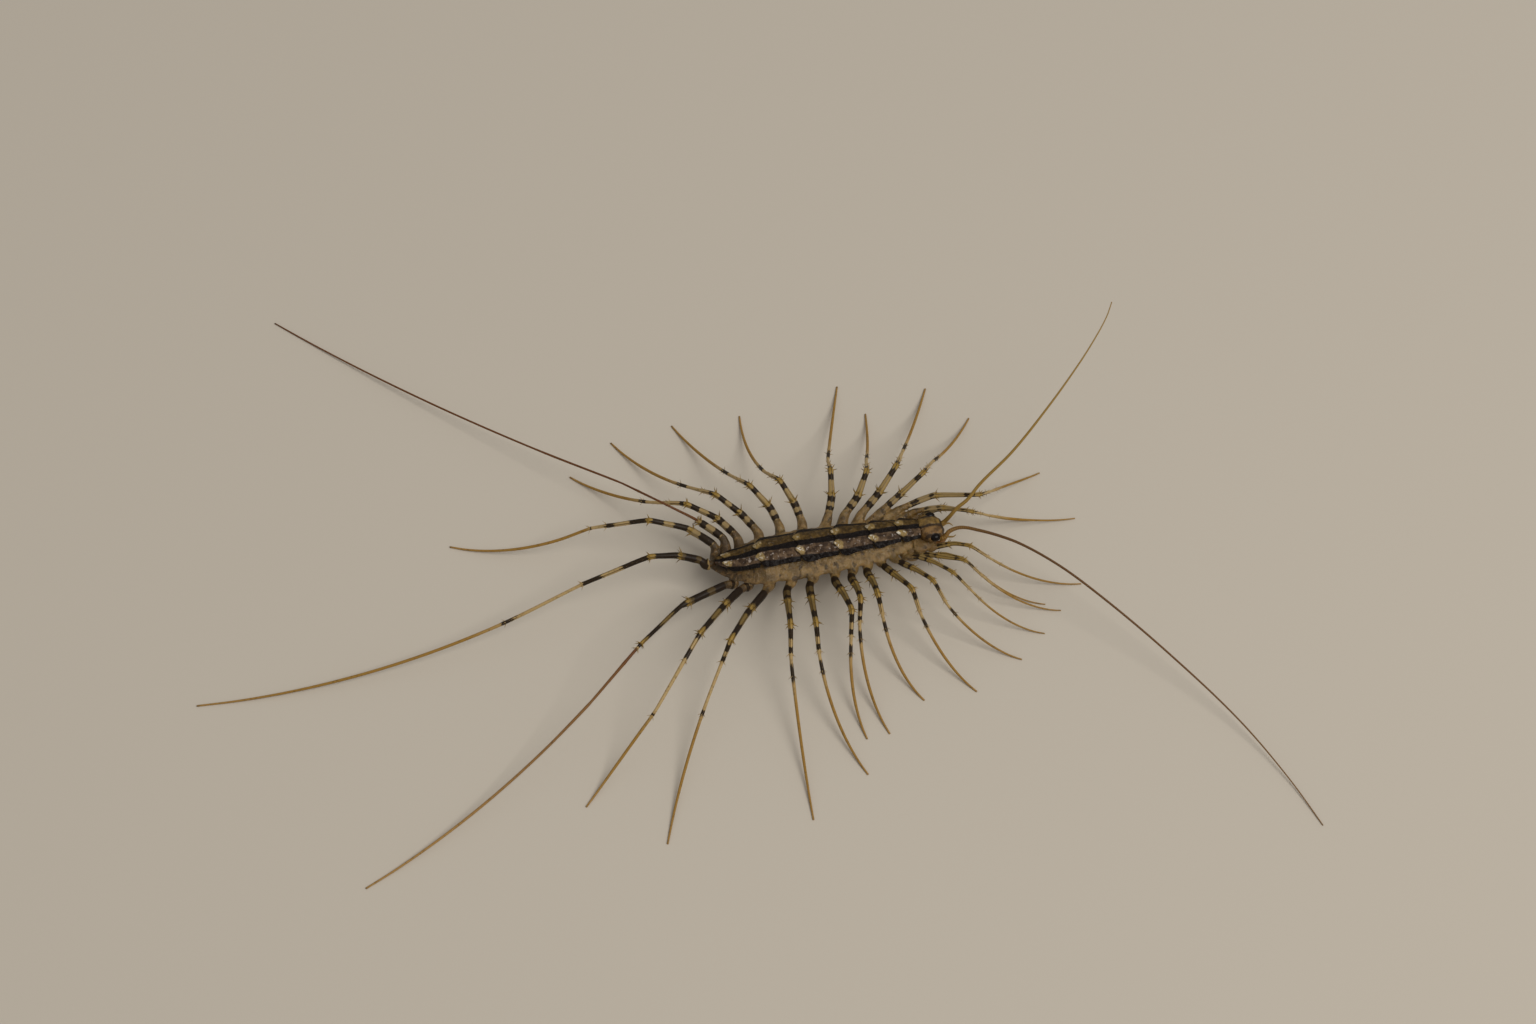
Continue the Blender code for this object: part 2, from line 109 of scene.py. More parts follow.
# Soft daylight comes from the near side and the right, well above the animal.
# Its shadows fall beyond the legs and to their left, and a grey sky keeps them open.
LAMP_SPOT = (400.0, -420.0, 820.0)
LAMP_SIZE = 560.0
LAMP_WATTS = 5.3
lamp_data = bpy.data.lights.new("daylight", "AREA")
lamp_data.size = LAMP_SIZE * MM
lamp_data.energy = LAMP_WATTS
lamp_data.color = (1.0, 0.97, 0.92)
lamp = bpy.data.objects.new("daylight", lamp_data)
lamp.location = place(*LAMP_SPOT)
lamp.rotation_euler = (place(0.0, 0.0, 5.0) - lamp.location).to_track_quat("-Z", "Y").to_euler()
bpy.context.scene.collection.objects.link(lamp)
sky = bpy.data.worlds.new("sky")
sky.use_nodes = True
sky.node_tree.nodes["Background"].inputs["Color"].default_value = (1.0, 0.97, 0.93, 1.0)
sky.node_tree.nodes["Background"].inputs["Strength"].default_value = 0.36
bpy.context.scene.world = sky
bpy.context.scene.view_settings.view_transform = "Standard"


# The legs spring from the trunk's sides: a soft root, a stout first length, a thinner one up to the
# knee, a shin, and a long whip on the floor. The courses of all thirty come first, because the trunk's
# skin runs out on their roots.
COXA_X = (14.9, 13.5, 12.4, 11.7, 10.3, 8.8, 7.2, 5.5, 3.4, 0.9, -1.6, -4.1, -6.3, -7.9, -9.1)
COXA_HEIGHT = (3.5, 3.3, 3.5, 4.1, 4.5, 4.3, 4.3, 4.3, 4.3, 4.3, 4.3, 4.3, 4.2, 4.0, 3.4)
HIP_X = (15.8, 14.2, 14.1, 13.4, 11.6, 9.6, 7.4, 5.5, 3.6, 0.7, -1.9, -4.4, -6.9, -8.4, -9.6)
HIP_OUT = (1.45, 1.95, 2.5, 3.0, 3.6, 3.7, 3.9, 4.2, 4.2, 4.2, 4.2, 4.0, 3.5, 3.1, 2.0)
HIP_LEAD = (0.0, 0.0, 0.0, 0.6, 0.6, 0.6, 0.6, 0.6, 0.6, 0.6, 0.6, 0.6, 0.6, 0.6, 0.6)
HIP_HEIGHT = (3.6, 2.75, 4.1, 4.8, 4.8, 4.8, 4.8, 4.8, 4.8, 4.8, 4.8, 4.8, 4.8, 4.8, 4.6)
LEG_GROWTH = (0.72, 0.6, 0.66, 0.7, 0.82, 0.92, 1.0)
HIP_TURN_FROM = 11
HIP_TURN = 0.57
HIND_RIGHT_COXA = (-10.2, 1.45, 4.5)
HIND_RIGHT_HIP = (-11.1, 1.9, 4.9)
ANKLE_SHARE = 0.62
PREFEMUR_SHARE = 0.45
CORNER = 0.55
TAIL_TURN_FROM = -4.0
TAIL_TURN = 0.035
TRUNK_AT = (-9.9, -9.0, -6.0, 0.0, 8.0, 12.0, 13.2, 15.0)
TRUNK_HALF_WIDTH = (0.8, 1.2, 1.8, 2.1, 1.95, 1.6, 1.3, 0.7)
# One row a leg: knee x, y and height, the thigh's sideways bow, ankle x and y, foot x and y, the foot's bow.
RIGHT_LEGS = (
    (18.9, -3.5, 5.6, 0.45, 21.1, -4.3, 31.0, -7.8, -0.6),
    (17.95, -4.1, 4.2, 0.6, 19.5, -5.1, 26.3, -9.6, -0.55),
    (17.7, -5.8, 6.4, 0.0, 19.7, -7.1, 27.8, -10.8, -0.5),
    (15.9, -7.4, 6.8, 0.3, 17.8, -8.6, 25.2, -13.4, -0.5),
    (13.4, -8.0, 7.0, 0.2, 14.6, -9.8, 21.8, -16.2, -0.5),
    (10.8, -8.7, 7.2, 0.1, 11.4, -10.5, 15.8, -19.2, -0.4),
    (6.9, -8.5, 7.2, 0.2, 7.2, -9.9, 9.8, -19.0, -0.6),
    (4.9, -8.8, 7.2, 0.2, 4.4, -10.4, 5.0, -22.4, -0.7),
    (3.6, -10.0, 7.2, 0.2, 3.0, -12.1, 2.4, -22.5, -0.6),
    (-0.7, -10.8, 7.2, 0.0, -0.9, -13.3, 1.4, -27.0, -0.7),
    (-3.5, -10.4, 7.2, 0.0, -4.1, -13.1, -5.8, -31.3, -0.1),
    (-10.4, -10.8, 7.2, -0.3, -11.6, -11.7, -22.0, -30.7, -0.7),
    (-13.5, -9.2, 7.2, -0.2, -20.3, -16.5, -29.7, -24.1, -0.3),
    (-20.1, -8.6, 6.4, -1.1, -26.9, -13.4, -55.0, -28.8, 0.9),
    (-16.7, 2.5, 6.6, -0.5, -24.6, 2.2, -69.3, -1.5, 2.2),
)
LEFT_LEGS = (
    (16.2, 2.8, 3.0, 0.0, 16.1, 3.4, 15.9, 4.6, 0.0),
    (14.7, 3.1, 2.9, 0.0, 14.5, 3.7, 13.9, 4.8, 0.0),
    (19.9, 2.0, 4.6, 0.84, 22.1, 2.1, 28.2, 1.9, 0.1),
    (20.0, 0.2, 6.8, 0.7, 22.2, 1.0, 32.7, 1.1, 0.1),
    (21.4, 2.1, 7.0, 1.2, 23.5, 4.1, 30.4, 8.2, 0.5),
    (15.9, 6.4, 7.2, 0.0, 17.8, 9.5, 24.4, 17.6, -0.1),
    (13.1, 8.0, 7.2, -0.2, 14.8, 11.6, 20.5, 22.9, 0.0),
    (9.7, 8.1, 7.2, -0.4, 10.5, 11.4, 12.8, 20.9, -0.2),
    (5.7, 9.1, 7.2, -0.3, 6.2, 12.4, 10.5, 25.5, 0.1),
    (-0.2, 9.0, 7.2, -0.3, -1.2, 12.4, -1.6, 23.9, 0.5),
    (-3.7, 9.1, 7.2, -0.5, -5.1, 12.8, -9.6, 24.3, 0.0),
    (-7.7, 8.7, 7.2, -0.4, -10.0, 12.2, -17.0, 23.5, 0.3),
    (-11.2, 8.8, 6.4, -0.7, -14.9, 11.6, -22.6, 19.8, 0.1),
    (-14.3, 9.2, 7.4, -0.4, -17.6, 14.6, -52.2, 49.6, 0.5),
    (-15.8, 7.4, 6.6, -0.9, -22.2, 9.5, -37.9, 13.3, 1.0),
)
# How far down its course, from 0 at the trunk to 5 at the foot, a leg has its first ring, its two bends,
# the end of its shin and the knot of its whip.
RIGHT_JOINTS = (0.88, 1.74, 2.98, 3.84, 4.17)
LEFT_JOINTS = (1.35, 2.08, 3.03, 3.48, 4.17)
HIND_JOINTS = {
    "left_13": (1.2, 1.96, 2.98, 3.42, 4.16),
    "left_14": (1.1, 1.86, 3.0, 3.5, 4.2),
    "left_15": (1.05, 1.82, 3.0, 3.66, 3.98),
    "right_12": (1.0, 1.72, 3.0, 4.0, 4.28),
    "right_13": (1.05, 1.72, 3.0, 3.36, 4.11),
    "right_14": (1.05, 1.78, 3.0, 3.36, 4.15),
    "right_15": (0.9, 1.87, 3.0, 4.0, 4.21),
}
# Thickness down a leg by its marks: root to 1, first length to 2, second to the knee at 3, shin to 4,
# whip to 5. Marks from TIP_FROM on belong to the two odd legs, the slender one and the red one.
LEG_MARKS = (0.0, 0.6, 0.95, 1.05, 1.3, 1.7, 1.86, 1.97, 2.06, 2.2, 2.7, 2.9)
LEG_MARKS += (3.0, 3.1, 3.3, 3.85, 3.97, 4.03, 4.15, 4.2, 4.24, 4.6, 5.0)
LEG_RADII = (0.85, 0.56, 0.43, 0.45, 0.46, 0.43, 0.44, 0.46, 0.38, 0.36, 0.31, 0.32)
LEG_RADII += (0.33, 0.29, 0.27, 0.24, 0.26, 0.21, 0.18, 0.21, 0.18, 0.165, 0.1)
SLENDER_LEG = ("left", 13)
SLENDER_AT = (1.9, 2.1, 3.0, 5.0)
SLENDER_SHARE = (1.0, 0.45, 0.4, 0.75)
SLENDER_RED_FROM = 2.05
RED_LEG = ("right", 13)
RED_AT = (2.05, 2.2, 3.6, 4.3, 5.0)
RED_SHARE = (1.0, 0.72, 0.66, 0.85, 1.0)
RED_FROM = 3.42
TIP_FROM = 5.1
TIP_SPAN = 0.8
# A pattern's U coordinate is the mark divided by this.
PATTERN_MARKS = 6.0
FOOT_RADIUS = 0.08
STEP_CLOSE = 0.14
STEP_FAR = 0.6


def body_y(x):
    return TAIL_TURN * max(0.0, TAIL_TURN_FROM - x) ** 2


def trunk_half_width(x):
    return float(np.interp(x, TRUNK_AT, TRUNK_HALF_WIDTH))


def bow(start, end, amount, t):
    """A point on the way from start to end in plan, bowed to the left of that way by amount."""
    along = Vector(end) - Vector(start)
    across = Vector((-along.y, along.x)).normalized()
    return Vector(start) + along * t + across * amount * 4 * t * (1 - t)


def leg_course(pair, left, row):
    """Points down a leg and the mark of each, from 0 at the trunk to 5 at the foot."""
    knee_x, knee_y, knee_z, thigh_bow, ankle_x, ankle_y, foot_x, foot_y, foot_bow = row
    side = 1 if left else -1
    coxa_x = COXA_X[pair]
    coxa_y = body_y(coxa_x) + side * (trunk_half_width(coxa_x) - 0.3)
    coxa = Vector((coxa_x, coxa_y, COXA_HEIGHT[pair]))
    out = coxa + Vector((0.0, side * 1.05, 0.0))
    hip_y = side * HIP_OUT[pair] + HIP_TURN * max(0, pair - HIP_TURN_FROM)
    hip = Vector((HIP_X[pair] + side * HIP_LEAD[pair], hip_y, HIP_HEIGHT[pair]))
    if pair == 14 and not left:
        coxa = Vector(HIND_RIGHT_COXA) + Vector((0.7, 0.0, 0.0))
        hip = Vector(HIND_RIGHT_HIP)
        out = Vector(HIND_RIGHT_COXA) + Vector((-0.4, 0.0, 0.0))
    knee = Vector((knee_x, knee_y, knee_z))
    ankle_z = knee_z * ANKLE_SHARE
    ankle = Vector((ankle_x, ankle_y, ankle_z))
    mid = bow(hip.xy, knee.xy, thigh_bow, PREFEMUR_SHARE)
    prefemur_end = Vector((mid.x, mid.y, hip.z + (knee_z - hip.z) * 0.4))
    places = [coxa, out]
    marks = [0.0, 0.45]
    first = bow(ankle.xy, (foot_x, foot_y), foot_bow, 0.1)
    toe = Vector((first.x, first.y, FOOT_RADIUS + (ankle_z - FOOT_RADIUS) * 0.9**1.7))
    corners = ((out, hip, prefemur_end, 1.0), (hip, prefemur_end, knee, 2.0))
    corners += ((prefemur_end, knee, ankle, 3.0), (knee, ankle, toe, 4.0))
    for before, corner, after, mark in corners:
        back = (before - corner).normalized() * min(CORNER, (before - corner).length * 0.4)
        ahead = (after - corner).normalized() * min(CORNER, (after - corner).length * 0.4)
        places += [corner + back, corner + (back + ahead) * 0.25, corner + ahead]
        marks += [mark - 0.15, mark, mark + 0.15]
        if 1.5 < mark < 3.5:
            places.append(corner + (after - corner) * 0.55)
            marks.append(mark + 0.5)
    steps = 10
    for i in range(2, steps + 1):
        t = i / steps
        spot = bow(ankle.xy, (foot_x, foot_y), foot_bow, t)
        places.append(Vector((spot.x, spot.y, FOOT_RADIUS + (ankle_z - FOOT_RADIUS) * (1 - t) ** 1.7)))
        marks.append(4.0 + t)
    return places, marks


def smooth_line(places, marks, close, far=None, change=99.0):
    """Steps along a smooth line through the places, with the mark and the length run at each step.

    The steps are close together up to the mark called change, and far apart beyond it.
    """
    fine, fine_marks = [], []
    for i in range(len(places) - 1):
        before, a = places[max(i - 1, 0)], places[i]
        b, after = places[i + 1], places[min(i + 2, len(places) - 1)]
        chord = (b - a).length
        m = ((b - a).normalized() + (a - before).normalized()) * 0.5 * chord
        n = ((b - a).normalized() + (after - b).normalized()) * 0.5 * chord
        for t in np.linspace(0.0, 1.0, 9)[:-1]:
            curve = a * (2 * t**3 - 3 * t**2 + 1) + m * (t**3 - 2 * t**2 + t)
            fine.append(curve + b * (3 * t**2 - 2 * t**3) + n * (t**3 - t**2))
            fine_marks.append(marks[i] + (marks[i + 1] - marks[i]) * t)
    fine.append(places[-1].copy())
    fine_marks.append(marks[-1])
    lengths = [(q - p).length for p, q in zip(fine, fine[1:])]
    run = np.concatenate([[0.0], np.cumsum(lengths)])
    counts = [d / (close if mark < change else far) for d, mark in zip(lengths, fine_marks)]
    count = np.concatenate([[0.0], np.cumsum(counts)])
    even = np.linspace(0.0, count[-1], int(count[-1]) + 2)
    line = [Vector(p) for p in zip(*[np.interp(even, count, [p[k] for p in fine]) for k in range(3)])]
    return line, list(np.interp(even, count, fine_marks)), list(np.interp(even, count, run))


def frames_along(line):
    """At each step the way along the line, a level way across it, and the way up from both."""
    turns = []
    for i in range(len(line)):
        along = (line[min(i + 1, len(line) - 1)] - line[max(i - 1, 0)]).normalized()
        level = along.cross(Vector((0.0, 0.0, 1.0)))
        level = level.normalized() if level.length > 0.05 else Vector((0.0, 1.0, 0.0))
        turns.append((along, level, level.cross(along)))
    return turns


def sheet(along, around, surface, closed=True):
    """A grid laid on surface(u, v), its UV map holding u and v, rolled up where v goes all the way round."""
    mesh = bmesh.new()
    mesh.loops.layers.uv.new("Pattern")
    bmesh.ops.create_grid(mesh, x_segments=along, y_segments=around, size=0.5, calc_uvs=True)
    for v in mesh.verts:
        v.co = surface(v.co.x + 0.5, v.co.y + 0.5)
    if closed:
        bmesh.ops.remove_doubles(mesh, verts=mesh.verts, dist=2e-7)
        rims = [e for e in mesh.edges if e.is_boundary]
        bmesh.ops.holes_fill(mesh, edges=rims, sides=0)
        bmesh.ops.recalc_face_normals(mesh, faces=mesh.faces)
    return mesh


def whip(line, radii, around, marks, ridge=None):
    """A round tube down the line; ridge gives how much it swells at each step and turn."""
    turns = frames_along(line)
    last = len(line) - 1

    def surface(u, v):
        i = min(last, round(u * last))
        turn = 2 * math.pi * v
        radius = radii[i] * (ridge(i, turn) if ridge else 1.0)
        spot = line[i] + (turns[i][1] * math.cos(turn) + turns[i][2] * math.sin(turn)) * radius
        return place(spot.x, spot.y, max(spot.z, 0.0))

    mesh = sheet(last, around, surface)
    uv = mesh.loops.layers.uv["Pattern"]
    for face in mesh.faces:
        for loop in face.loops:
            step = loop[uv].uv.x * last
            loop[uv].uv.x = float(np.interp(step, range(last + 1), marks)) / PATTERN_MARKS
    return mesh


legs = []
for rows, word in ((LEFT_LEGS, "left"), (RIGHT_LEGS, "right")):
    for pair, row in enumerate(rows):
        course, course_marks = leg_course(pair, word == "left", row)
        line, marks, run = smooth_line(course, course_marks, STEP_CLOSE, STEP_FAR, 4.3)
        joints = HIND_JOINTS.get(f"{word}_{pair + 1}", LEFT_JOINTS if word == "left" else RIGHT_JOINTS)
        marks = list(np.interp(marks, (0.0, *joints, 5.0), (0.0, 1.0, 2.0, 3.0, 4.0, 4.2, 5.0)))
        size = LEG_GROWTH[min(pair, len(LEG_GROWTH) - 1)]
        radii = [float(np.interp(m, LEG_MARKS, LEG_RADII)) * size for m in marks]
        if (word, pair) == SLENDER_LEG:
            radii = [float(np.interp(m, SLENDER_AT, SLENDER_SHARE)) * r for r, m in zip(radii, marks)]
            marks = [m if m < SLENDER_RED_FROM else TIP_FROM for m in marks]
        if (word, pair) == RED_LEG:
            radii = [float(np.interp(m, RED_AT, RED_SHARE)) * r for r, m in zip(radii, marks)]
            red_run = 5.0 - RED_FROM
            marks = [m if m < RED_FROM else TIP_FROM + TIP_SPAN * (m - RED_FROM) / red_run for m in marks]
        legs.append((word, pair + 1, line, marks, run, radii, size))


# The trunk is a soft jointed body under the plates, its skin pale brown, translucent and finely folded.
# One skin covers it and runs out over every leg's root, so the legs grow from it with no seam.
BACK_AT = (-11.0, -9.0, -4.4, 0.0, 5.7, 12.0, 16.0)
BACK_HEIGHT = (4.7, 5.5, 7.3, 7.2, 6.85, 6.4, 5.8)
BELLY_HEIGHT = 3.1
PLATE_THICK = 0.3
GAP = 0.3
NECK_X = 13.3
NECK_TOP = 3.95
ROOT_SWELL = 0.3
FLANK_AT = (-9.9, -8.0, 0.0, 4.0, 8.0, 15.0)
FLANK_BULGE = (0.5, 1.1, 1.25, 1.1, 0.8, 0.6)
FLANK_BULGE_TURN = 0.15
FLANK_BULGE_SOFT = 0.42
# The last roots on the near side are thinner than the others where they leave the trunk.
TAIL_ROOT_AT = (0.3, 0.79, 0.81)
TAIL_ROOT_SHARE = (0.6, 0.84, 1.0)
# The jaw segment's soft body under the head: its middle and its half sizes.
NECK_MIDDLE = (13.9, 0.0, 3.8)
NECK_HALF = (2.0, 2.0, 0.68)
ROOT_SIDES = 16
SKIN_GRAIN = 0.093
SKIN_UP = 10.0


def back_height(x):
    return float(np.interp(x, BACK_AT, BACK_HEIGHT))


def trunk_surface(u, v):
    x = TRUNK_AT[0] + (TRUNK_AT[-1] - TRUNK_AT[0]) * u
    turn = 2 * math.pi * v
    end = min(1.0, 4.5 * min(u, 1.0 - u) + 0.15) ** 0.5
    half = trunk_half_width(x) * end
    top = back_height(x) - PLATE_THICK - GAP
    if x > NECK_X - 0.6:
        top += (NECK_TOP - top) * min(1.0, (x - NECK_X + 0.6) / 0.6)
    belly = BELLY_HEIGHT + 0.5 * (2.1 - trunk_half_width(x))
    middle, high = (top + belly) / 2, (top - belly) / 2 * end
    swell = 0.0
    for root_x in COXA_X:
        swell = max(swell, math.exp(-(((x - root_x) / 0.6) ** 2)))
    flank = max(0.0, abs(math.cos(turn)) - 0.3)
    fold = 0.07 * math.sin(x * 6.3 + 2.5 * math.sin(turn * 2)) * flank
    grow = 1.0 + (ROOT_SWELL * swell * flank + fold) / max(half, 0.5)
    side = math.exp(-(((math.sin(turn) - FLANK_BULGE_TURN) / FLANK_BULGE_SOFT) ** 2))
    side *= float(np.interp(x, FLANK_AT, FLANK_BULGE)) * (1.0 if math.cos(turn) > 0 else -1.0)
    y = half * grow * math.cos(turn) + side * end
    return place(x, body_y(x) + y, middle + high * math.sin(turn) * (1 + 0.02 * swell))


def ball(segments, rings, shape):
    """A round closed shell, each point of a unit ball moved to shape(point) in millimetres."""
    mesh = bmesh.new()
    mesh.loops.layers.uv.new("Pattern")
    bmesh.ops.create_uvsphere(mesh, u_segments=segments, v_segments=rings, radius=1.0, calc_uvs=True)
    for v in mesh.verts:
        v.co = place(*shape(v.co.copy()))
    return mesh


def neck_shape(p):
    return [middle + half * c for middle, half, c in zip(NECK_MIDDLE, NECK_HALF, p)]


def add_shell(mesh, shell):
    """Puts another closed shell into the mesh."""
    data = bpy.data.meshes.new("shell")
    shell.to_mesh(data)
    shell.free()
    mesh.from_mesh(data)
    bpy.data.meshes.remove(data)


def shader_node_value(tree, socket, value):
    if isinstance(value, tuple):
        socket.default_value = (*value, 1.0)
    elif isinstance(value, (int, float)):
        socket.default_value = value
    else:
        tree.links.new(value, socket)


def new_material(name, roughness, coat=0.0):
    material = bpy.data.materials.new(name)
    material.use_nodes = True
    shader = shader_of(material)
    shader.inputs["Roughness"].default_value = roughness
    shader.inputs["Coat Weight"].default_value = coat
    shader.inputs["Coat Roughness"].default_value = 0.12
    shader.inputs["Specular IOR Level"].default_value = 0.25
    return material, material.node_tree, shader


def combine(tree, operation, first, second=0.0):
    """One sum of two values; each may be a number or a socket."""
    made = tree.nodes.new("ShaderNodeMath")
    made.operation = operation
    shader_node_value(tree, made.inputs[0], first)
    shader_node_value(tree, made.inputs[1], second)
    return made.outputs[0]


def mix_colour(tree, amount, first, second):
    made = tree.nodes.new("ShaderNodeMix")
    made.data_type = "RGBA"
    for index, value in ((0, amount), (6, first), (7, second)):
        shader_node_value(tree, made.inputs[index], value)
    return made.outputs[2]


def noise(tree, scale, detail=3.0, stretch=(1.0, 1.0, 1.0)):
    """Noise in the animal's own space, its scale in spots a millimetre."""
    coordinates = tree.nodes.new("ShaderNodeTexCoord")
    mapping = tree.nodes.new("ShaderNodeMapping")
    mapping.inputs["Scale"].default_value = tuple(scale / MM * s for s in stretch)
    texture = tree.nodes.new("ShaderNodeTexNoise")
    texture.inputs["Scale"].default_value = 1.0
    texture.inputs["Detail"].default_value = detail
    tree.links.new(coordinates.outputs["Object"], mapping.inputs["Vector"])
    tree.links.new(mapping.outputs["Vector"], texture.inputs["Vector"])
    return texture.outputs["Fac"]


def rise(tree, value, low, high):
    """0 below low, 1 above high, smooth between them; it falls where high is under low."""
    made = tree.nodes.new("ShaderNodeMapRange")
    made.interpolation_type = "SMOOTHSTEP"
    made.inputs["From Min"].default_value = min(low, high)
    made.inputs["From Max"].default_value = max(low, high)
    tree.links.new(value, made.inputs["Value"])
    return made.outputs["Result"] if low < high else combine(tree, "SUBTRACT", 1.0, made.outputs["Result"])


def add_bump(tree, shader, height, strength, distance):
    bump = tree.nodes.new("ShaderNodeBump")
    bump.inputs["Strength"].default_value = strength
    bump.inputs["Distance"].default_value = distance * MM
    tree.links.new(height, bump.inputs["Height"])
    tree.links.new(bump.outputs["Normal"], shader.inputs["Normal"])
    tree.links.new(bump.outputs["Normal"], shader.inputs["Coat Normal"])


def add_piece(name, mesh, material, slot, *nodes):
    """Makes the finished piece, riding on the body, in place of the nodes that it stands for."""
    data = bpy.data.meshes.new(name)
    mesh.to_mesh(data)
    mesh.free()
    data.shade_smooth()
    data.materials.append(material)
    piece = bpy.data.objects.new(name, data)
    bpy.context.scene.collection.objects.link(piece)
    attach(piece, "root")
    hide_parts(*nodes)
    return piece


def fused(mesh, grain):
    """Melts the closed shells of a mesh into one skin, with grain as the size of its faces."""
    bmesh.ops.scale(mesh, vec=(SKIN_UP,) * 3, verts=mesh.verts)
    data = bpy.data.meshes.new("parts_of_skin")
    mesh.to_mesh(data)
    parts = bpy.data.objects.new("parts_of_skin", data)
    bpy.context.scene.collection.objects.link(parts)
    melt = parts.modifiers.new("melt", "REMESH")
    melt.mode = "VOXEL"
    melt.voxel_size = grain * MM * SKIN_UP
    soften = parts.modifiers.new("soften", "SMOOTH")
    soften.factor = 0.5
    soften.iterations = 5
    graph = bpy.context.evaluated_depsgraph_get()
    whole = bpy.data.meshes.new_from_object(parts.evaluated_get(graph))
    mesh.clear()
    mesh.from_mesh(whole)
    bmesh.ops.scale(mesh, vec=(1.0 / SKIN_UP,) * 3, verts=mesh.verts)
    bpy.data.objects.remove(parts)
    return mesh


flank_skin, tree, shader = new_material("flank_skin", 0.42, 0.3)
shader.inputs["Subsurface Weight"].default_value = 0.3
shader.inputs["Subsurface Radius"].default_value = (0.0006, 0.0003, 0.00015)
mottle = rise(tree, noise(tree, 1.1, 5.0), 0.38, 0.62)
streak = rise(tree, noise(tree, 1.6, 4.0, (1.0, 0.7, 0.8)), 0.55, 0.66)
pale = mix_colour(tree, mottle, (0.27, 0.17, 0.062), (0.14, 0.085, 0.026))
coordinates = tree.nodes.new("ShaderNodeTexCoord")
split = tree.nodes.new("ShaderNodeSeparateXYZ")
tree.links.new(coordinates.outputs["Object"], split.inputs["Vector"])
neck = rise(tree, split.outputs["X"], place(12.6, 0.0, 0.0).x, place(14.2, 0.0, 0.0).x)
pale = mix_colour(tree, combine(tree, "MULTIPLY", neck, 0.75), pale, (0.15, 0.08, 0.016))
rear = rise(tree, split.outputs["X"], place(-2.0, 0.0, 0.0).x, place(-8.5, 0.0, 0.0).x)
pale = mix_colour(tree, combine(tree, "MULTIPLY", rear, 0.5), pale, (0.1, 0.052, 0.018))
blotch = combine(tree, "MULTIPLY", rise(tree, noise(tree, 1.5, 4.0), 0.42, 0.52), rear)
dark_streak = combine(tree, "MULTIPLY", combine(tree, "MAXIMUM", streak, blotch), 0.85)
tree.links.new(mix_colour(tree, dark_streak, pale, (0.05, 0.029, 0.01)), shader.inputs["Base Color"])
wet = combine(tree, "ADD", noise(tree, 2.6, 4.0), combine(tree, "MULTIPLY", noise(tree, 7.0, 3.0), 0.4))
add_bump(tree, shader, wet, 0.9, 0.22)

skin = sheet(160, 44, trunk_surface)
add_shell(skin, ball(40, 24, neck_shape))
for word, number, line, marks, run, radii, size in legs:
    count = int(np.searchsorted(marks, 1.02))
    root_line = line[: count + 1]
    root_radii = [r * (1.12 if m < 0.8 else 1.05) for r, m in zip(radii, marks)][: count + 1]
    if (word, number) == ("right", 15):
        root_radii = [min(r * 0.8, 0.42) for r in root_radii]
    if word == "right" and number in (13, 14):
        shares = [float(np.interp(m, TAIL_ROOT_AT, TAIL_ROOT_SHARE)) for m in marks]
        root_radii = [r * share for r, share in zip(root_radii, shares)]
    add_shell(skin, whip(root_line, root_radii, ROOT_SIDES, marks[: count + 1]))
add_piece("body_skin", fused(skin, SKIN_GRAIN), flank_skin, "flank_brown", "trunk")


# Each leg is one hard hollow tube with five low ridges, rings of spines at its joints and fine bristles.
# It is ochre with black rings, its knee is swollen and golden, and its whip is orange brown.
TUBE_SIDES = 14
RIDGES = 5
RIDGE_HEIGHT = 0.08
LEG_START = 0.6
HIND_RIGHT_START = 0.3
DARK_BANDS = ((1.03, 1.34), (1.7, 1.94), (2.56, 2.84), (3.16, 3.46))
KNOT_BAND = (4.188, 4.212)
SHIN_END_BAND = (3.72, 3.96)
HIND_EXTRA_BAND = (2.1, 2.32)
RED_LEG_BANDS = ((0.5, 1.34), (1.52, 1.9), (2.06, 2.4), (2.56, 2.82), (3.05, 3.38))
LAST_RIGHT_BANDS = ((0.4, 1.06), (1.24, 1.82), (2.1, 2.86), (3.08, 3.4), (3.64, 3.98), (4.188, 4.212))
DARK_FIRST_BANDS = ((0.62, 1.9), (2.12, 2.32), (2.56, 2.84), (3.16, 3.46))
LAST_LEFT_BANDS = ((1.04, 1.64), (2.14, 2.45), (2.64, 2.92), (3.12, 3.5), (3.8, 4.0), (4.188, 4.212))
BAND_EDGE = 0.09
# Rings of spines: the mark they stand at, how many, their length, thickness and lean towards the foot.
SPINE_RINGS = (
    (1.96, 6, 0.72, 0.1, 34),
    (2.97, 7, 0.55, 0.095, 28),
    (3.97, 5, 0.5, 0.07, 40),
    (4.2, 5, 0.48, 0.055, 40),
)
BRISTLE_STEP = 0.6
BRISTLE_LENGTH = 0.2
# How much a right leg is darkened, and a left one paled, down its two upper lengths: partly the legs' own tone,
# partly painted shade on the right and painted light on the left.
LENGTH_AT = (0.95, 1.1, 1.95, 2.04, 2.2, 2.8, 2.95)
PAINTED_SHADE_SHARE = (0.0, 1.0, 1.0, 0.1, 0.7, 0.7, 0.0)
PAINTED_LIGHT_SHARE = (0.0, 1.0, 1.0, 0.1, 0.9, 0.9, 0.0)
dice = random.Random(15)

